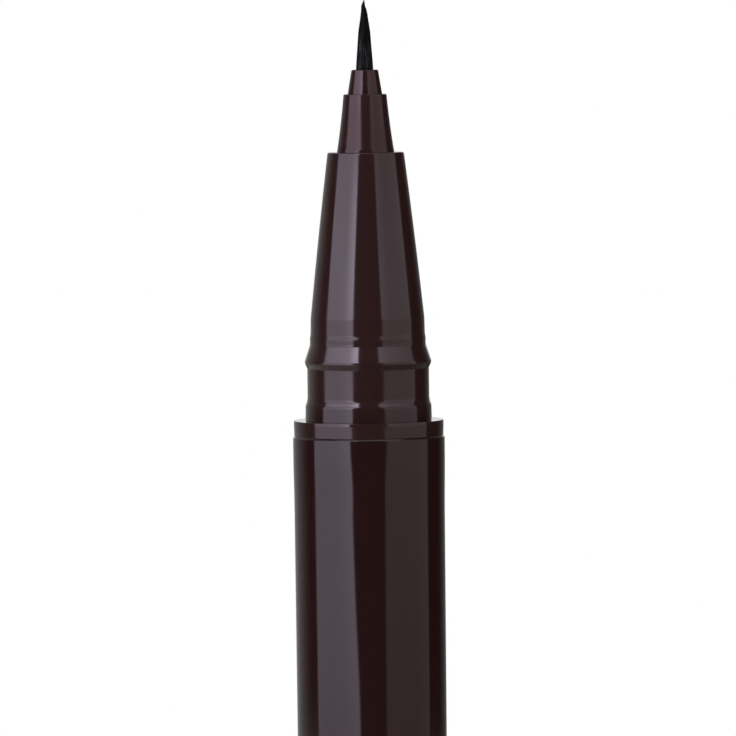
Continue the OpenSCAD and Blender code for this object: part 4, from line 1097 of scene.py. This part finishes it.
# %% Cap: inner cap
INNER_FLOOR = 0.8
GUIDE_REACH = 0.74
GUIDE_BAND = 5.0
GUIDE_RIBS = 6
GUIDE_RIB_WIDTH = 0.7
GUIDE_RIB_RELIEF = 0.03
RIB_START = 0.05
RIB_OVERRUN = 0.3
NEAR = 0.01
INNER_WALL = 0.6
SEAL_FIT = 0.02
SEAL_HEIGHT = 1.5
INNER_TAPER = 11.5
TAPER_ROUNDING = 1.0
FLOOR_ROUNDING = 0.5

PILOT_Z1 = INNER_Z0 + PILOT_HEIGHT
INNER_BODY_R = GUIDE_R - GUIDE_REACH
INNER_BORE_R = INNER_BODY_R - INNER_WALL
SEAL_R = LAND_R + SEAL_FIT
TAPER_Z0 = INNER_Z1 - SEAL_HEIGHT - INNER_TAPER
BODY_Z1 = INNER_Z1 - GUIDE_BAND
RIB_Z0 = PILOT_Z1 + INNER_FLOOR


def guide_ribs(ring, angle):
    """Radius to add: up to the rib's reach on the outer side between the rib's ends, times 1 on
    a rib and 0 between ribs, with a steep ease at the rib's two flanks."""
    r, z = ring[:, 0] / MM, ring[:, 1] / MM
    outer = (r > INNER_BODY_R - NEAR) & (z > RIB_Z0 - NEAR) & (z < BODY_Z1 + RIB_OVERRUN)
    reach = np.where(outer, np.maximum(GUIDE_R - GUIDE_RIB_RELIEF - r, 0), 0) * MM
    off = np.abs((angle * GUIDE_RIBS / (2 * np.pi) + 0.5) % 1 - 0.5) * 2 * np.pi / GUIDE_RIBS
    half = GUIDE_RIB_WIDTH / 2 / GUIDE_R
    step = 2 * np.pi / SIDES
    return reach[:, None] * ease((half + step / 2 - off) / step)[None, :]


cup = lathe("inner_cap_cup", [
    (0, INNER_Z0, 0), (PILOT_R, INNER_Z0, SOFT), (PILOT_R, PILOT_Z1, EDGE), (INNER_BODY_R, PILOT_Z1, ROUND),
    (INNER_BODY_R, RIB_Z0 - RIB_START, 0), (INNER_BODY_R, RIB_Z0, 0), (INNER_BODY_R, TAPER_Z0, 0),
    (GUIDE_R, BODY_Z1, EDGE), (GUIDE_R, INNER_Z1, SOFT), (SEAL_R, INNER_Z1, SOFT),
    (SEAL_R, INNER_Z1 - SEAL_HEIGHT, ROUND), (INNER_BORE_R, TAPER_Z0, TAPER_ROUNDING),
    (INNER_BORE_R, RIB_Z0, FLOOR_ROUNDING), (0, RIB_Z0, 0)], CAP_X, guide_ribs)
dress(cup, "inner_cap", "inner_cup", NATURAL_RESIN)

# %% [markdown]
# A compression spring is wire on a helix. Its end turns are closed, so that it sits flat: the
# height rises slowly over the first and the last turn, and quickly between. A curve with a round
# bevel could draw it, but a curve's own twist shows at the ends. Here the wire's round section
# is carried along the helix, square to it, by the helix's own directions.
#
# When the inner cap is pressed, the spring shortens towards the cap's end. Here it is made once,
# at the height of its solid in the model.

# %% Cap: spring
SPRING_Z0, SPRING_Z1, SPRING_R = size("cap_spring", CAP_X)
WIRE_R = 0.2
TURNS = 6
STEPS_PER_TURN = 48
WIRE_SIDES = 12
CLOSED_RISE = 0.42


def make_spring():
    """Centre line at turn t: radius times (cos, sin) of t, height by a curve that rises by
    CLOSED_RISE in the first and in the last turn. Section: the outward direction, and the cross
    product of the tangent with it."""
    turn = np.linspace(0, TURNS, TURNS * STEPS_PER_TURN + 1)
    low, high = SPRING_Z0 + WIRE_R, SPRING_Z1 - WIRE_R
    rise = np.interp(turn, [0, 1, TURNS - 1, TURNS], [0, CLOSED_RISE, high - low - CLOSED_RISE, high - low])
    window = np.hanning(STEPS_PER_TURN // 2 + 1)
    padded = np.pad(rise, len(window) // 2, mode="edge")
    z = low + np.convolve(padded, window / window.sum(), mode="valid")
    z = low + (z - z[0]) * (high - low) / (z[-1] - z[0])
    a = 2 * np.pi * turn
    out = np.stack([np.cos(a), np.sin(a), 0 * a], axis=1)
    line = out * (SPRING_R - WIRE_R) + np.stack([0 * a, 0 * a, z], axis=1)
    tangent = np.gradient(line, axis=0)
    tangent /= np.linalg.norm(tangent, axis=1, keepdims=True)
    across = np.cross(out, tangent)
    across /= np.linalg.norm(across, axis=1, keepdims=True)
    b = np.linspace(0, 2 * np.pi, WIRE_SIDES, endpoint=False)[None, :, None]
    tube = line[:, None, :] + WIRE_R * (np.cos(b) * out[:, None, :] + np.sin(b) * across[:, None, :])
    walls = grid_faces(len(turn), WIRE_SIDES)[:, OTHER_WAY]
    corner = np.arange(WIRE_SIDES)
    ends = [corner.tolist(), (len(turn) * WIRE_SIDES - WIRE_SIDES + corner)[::-1].tolist()]
    return new_object("cap_spring_wire", tube * MM + np.array([CAP_X, 0, 0]), walls.tolist() + ends)


spring = dress(make_spring(), "cap_spring", "cap", STEEL)
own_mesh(spring)

# %% [markdown]
# What sits inside the barrel is hidden, so it keeps its solids from the model, and only gets the
# finish of its own stuff: tank, plug, collector and retainer are natural polypropylene, the seal
# is rubber, the feed core is bundled fibre, and the mixing ball is steel.

# %% Finish of the pieces inside
INSIDE = {
    "ink_tank": NATURAL_RESIN, "tank_plug": NATURAL_RESIN, "collector": NATURAL_RESIN,
    "brush_retainer": NATURAL_RESIN, "tank_seal": SEAL_RUBBER, "feed_core": FEED_FIBRE, "mixing_ball": STEEL,
}
for node, material in INSIDE.items():
    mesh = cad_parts[node].data
    mesh.materials.clear()
    mesh.materials.append(material)
    print(node, "is finished in", material.name)
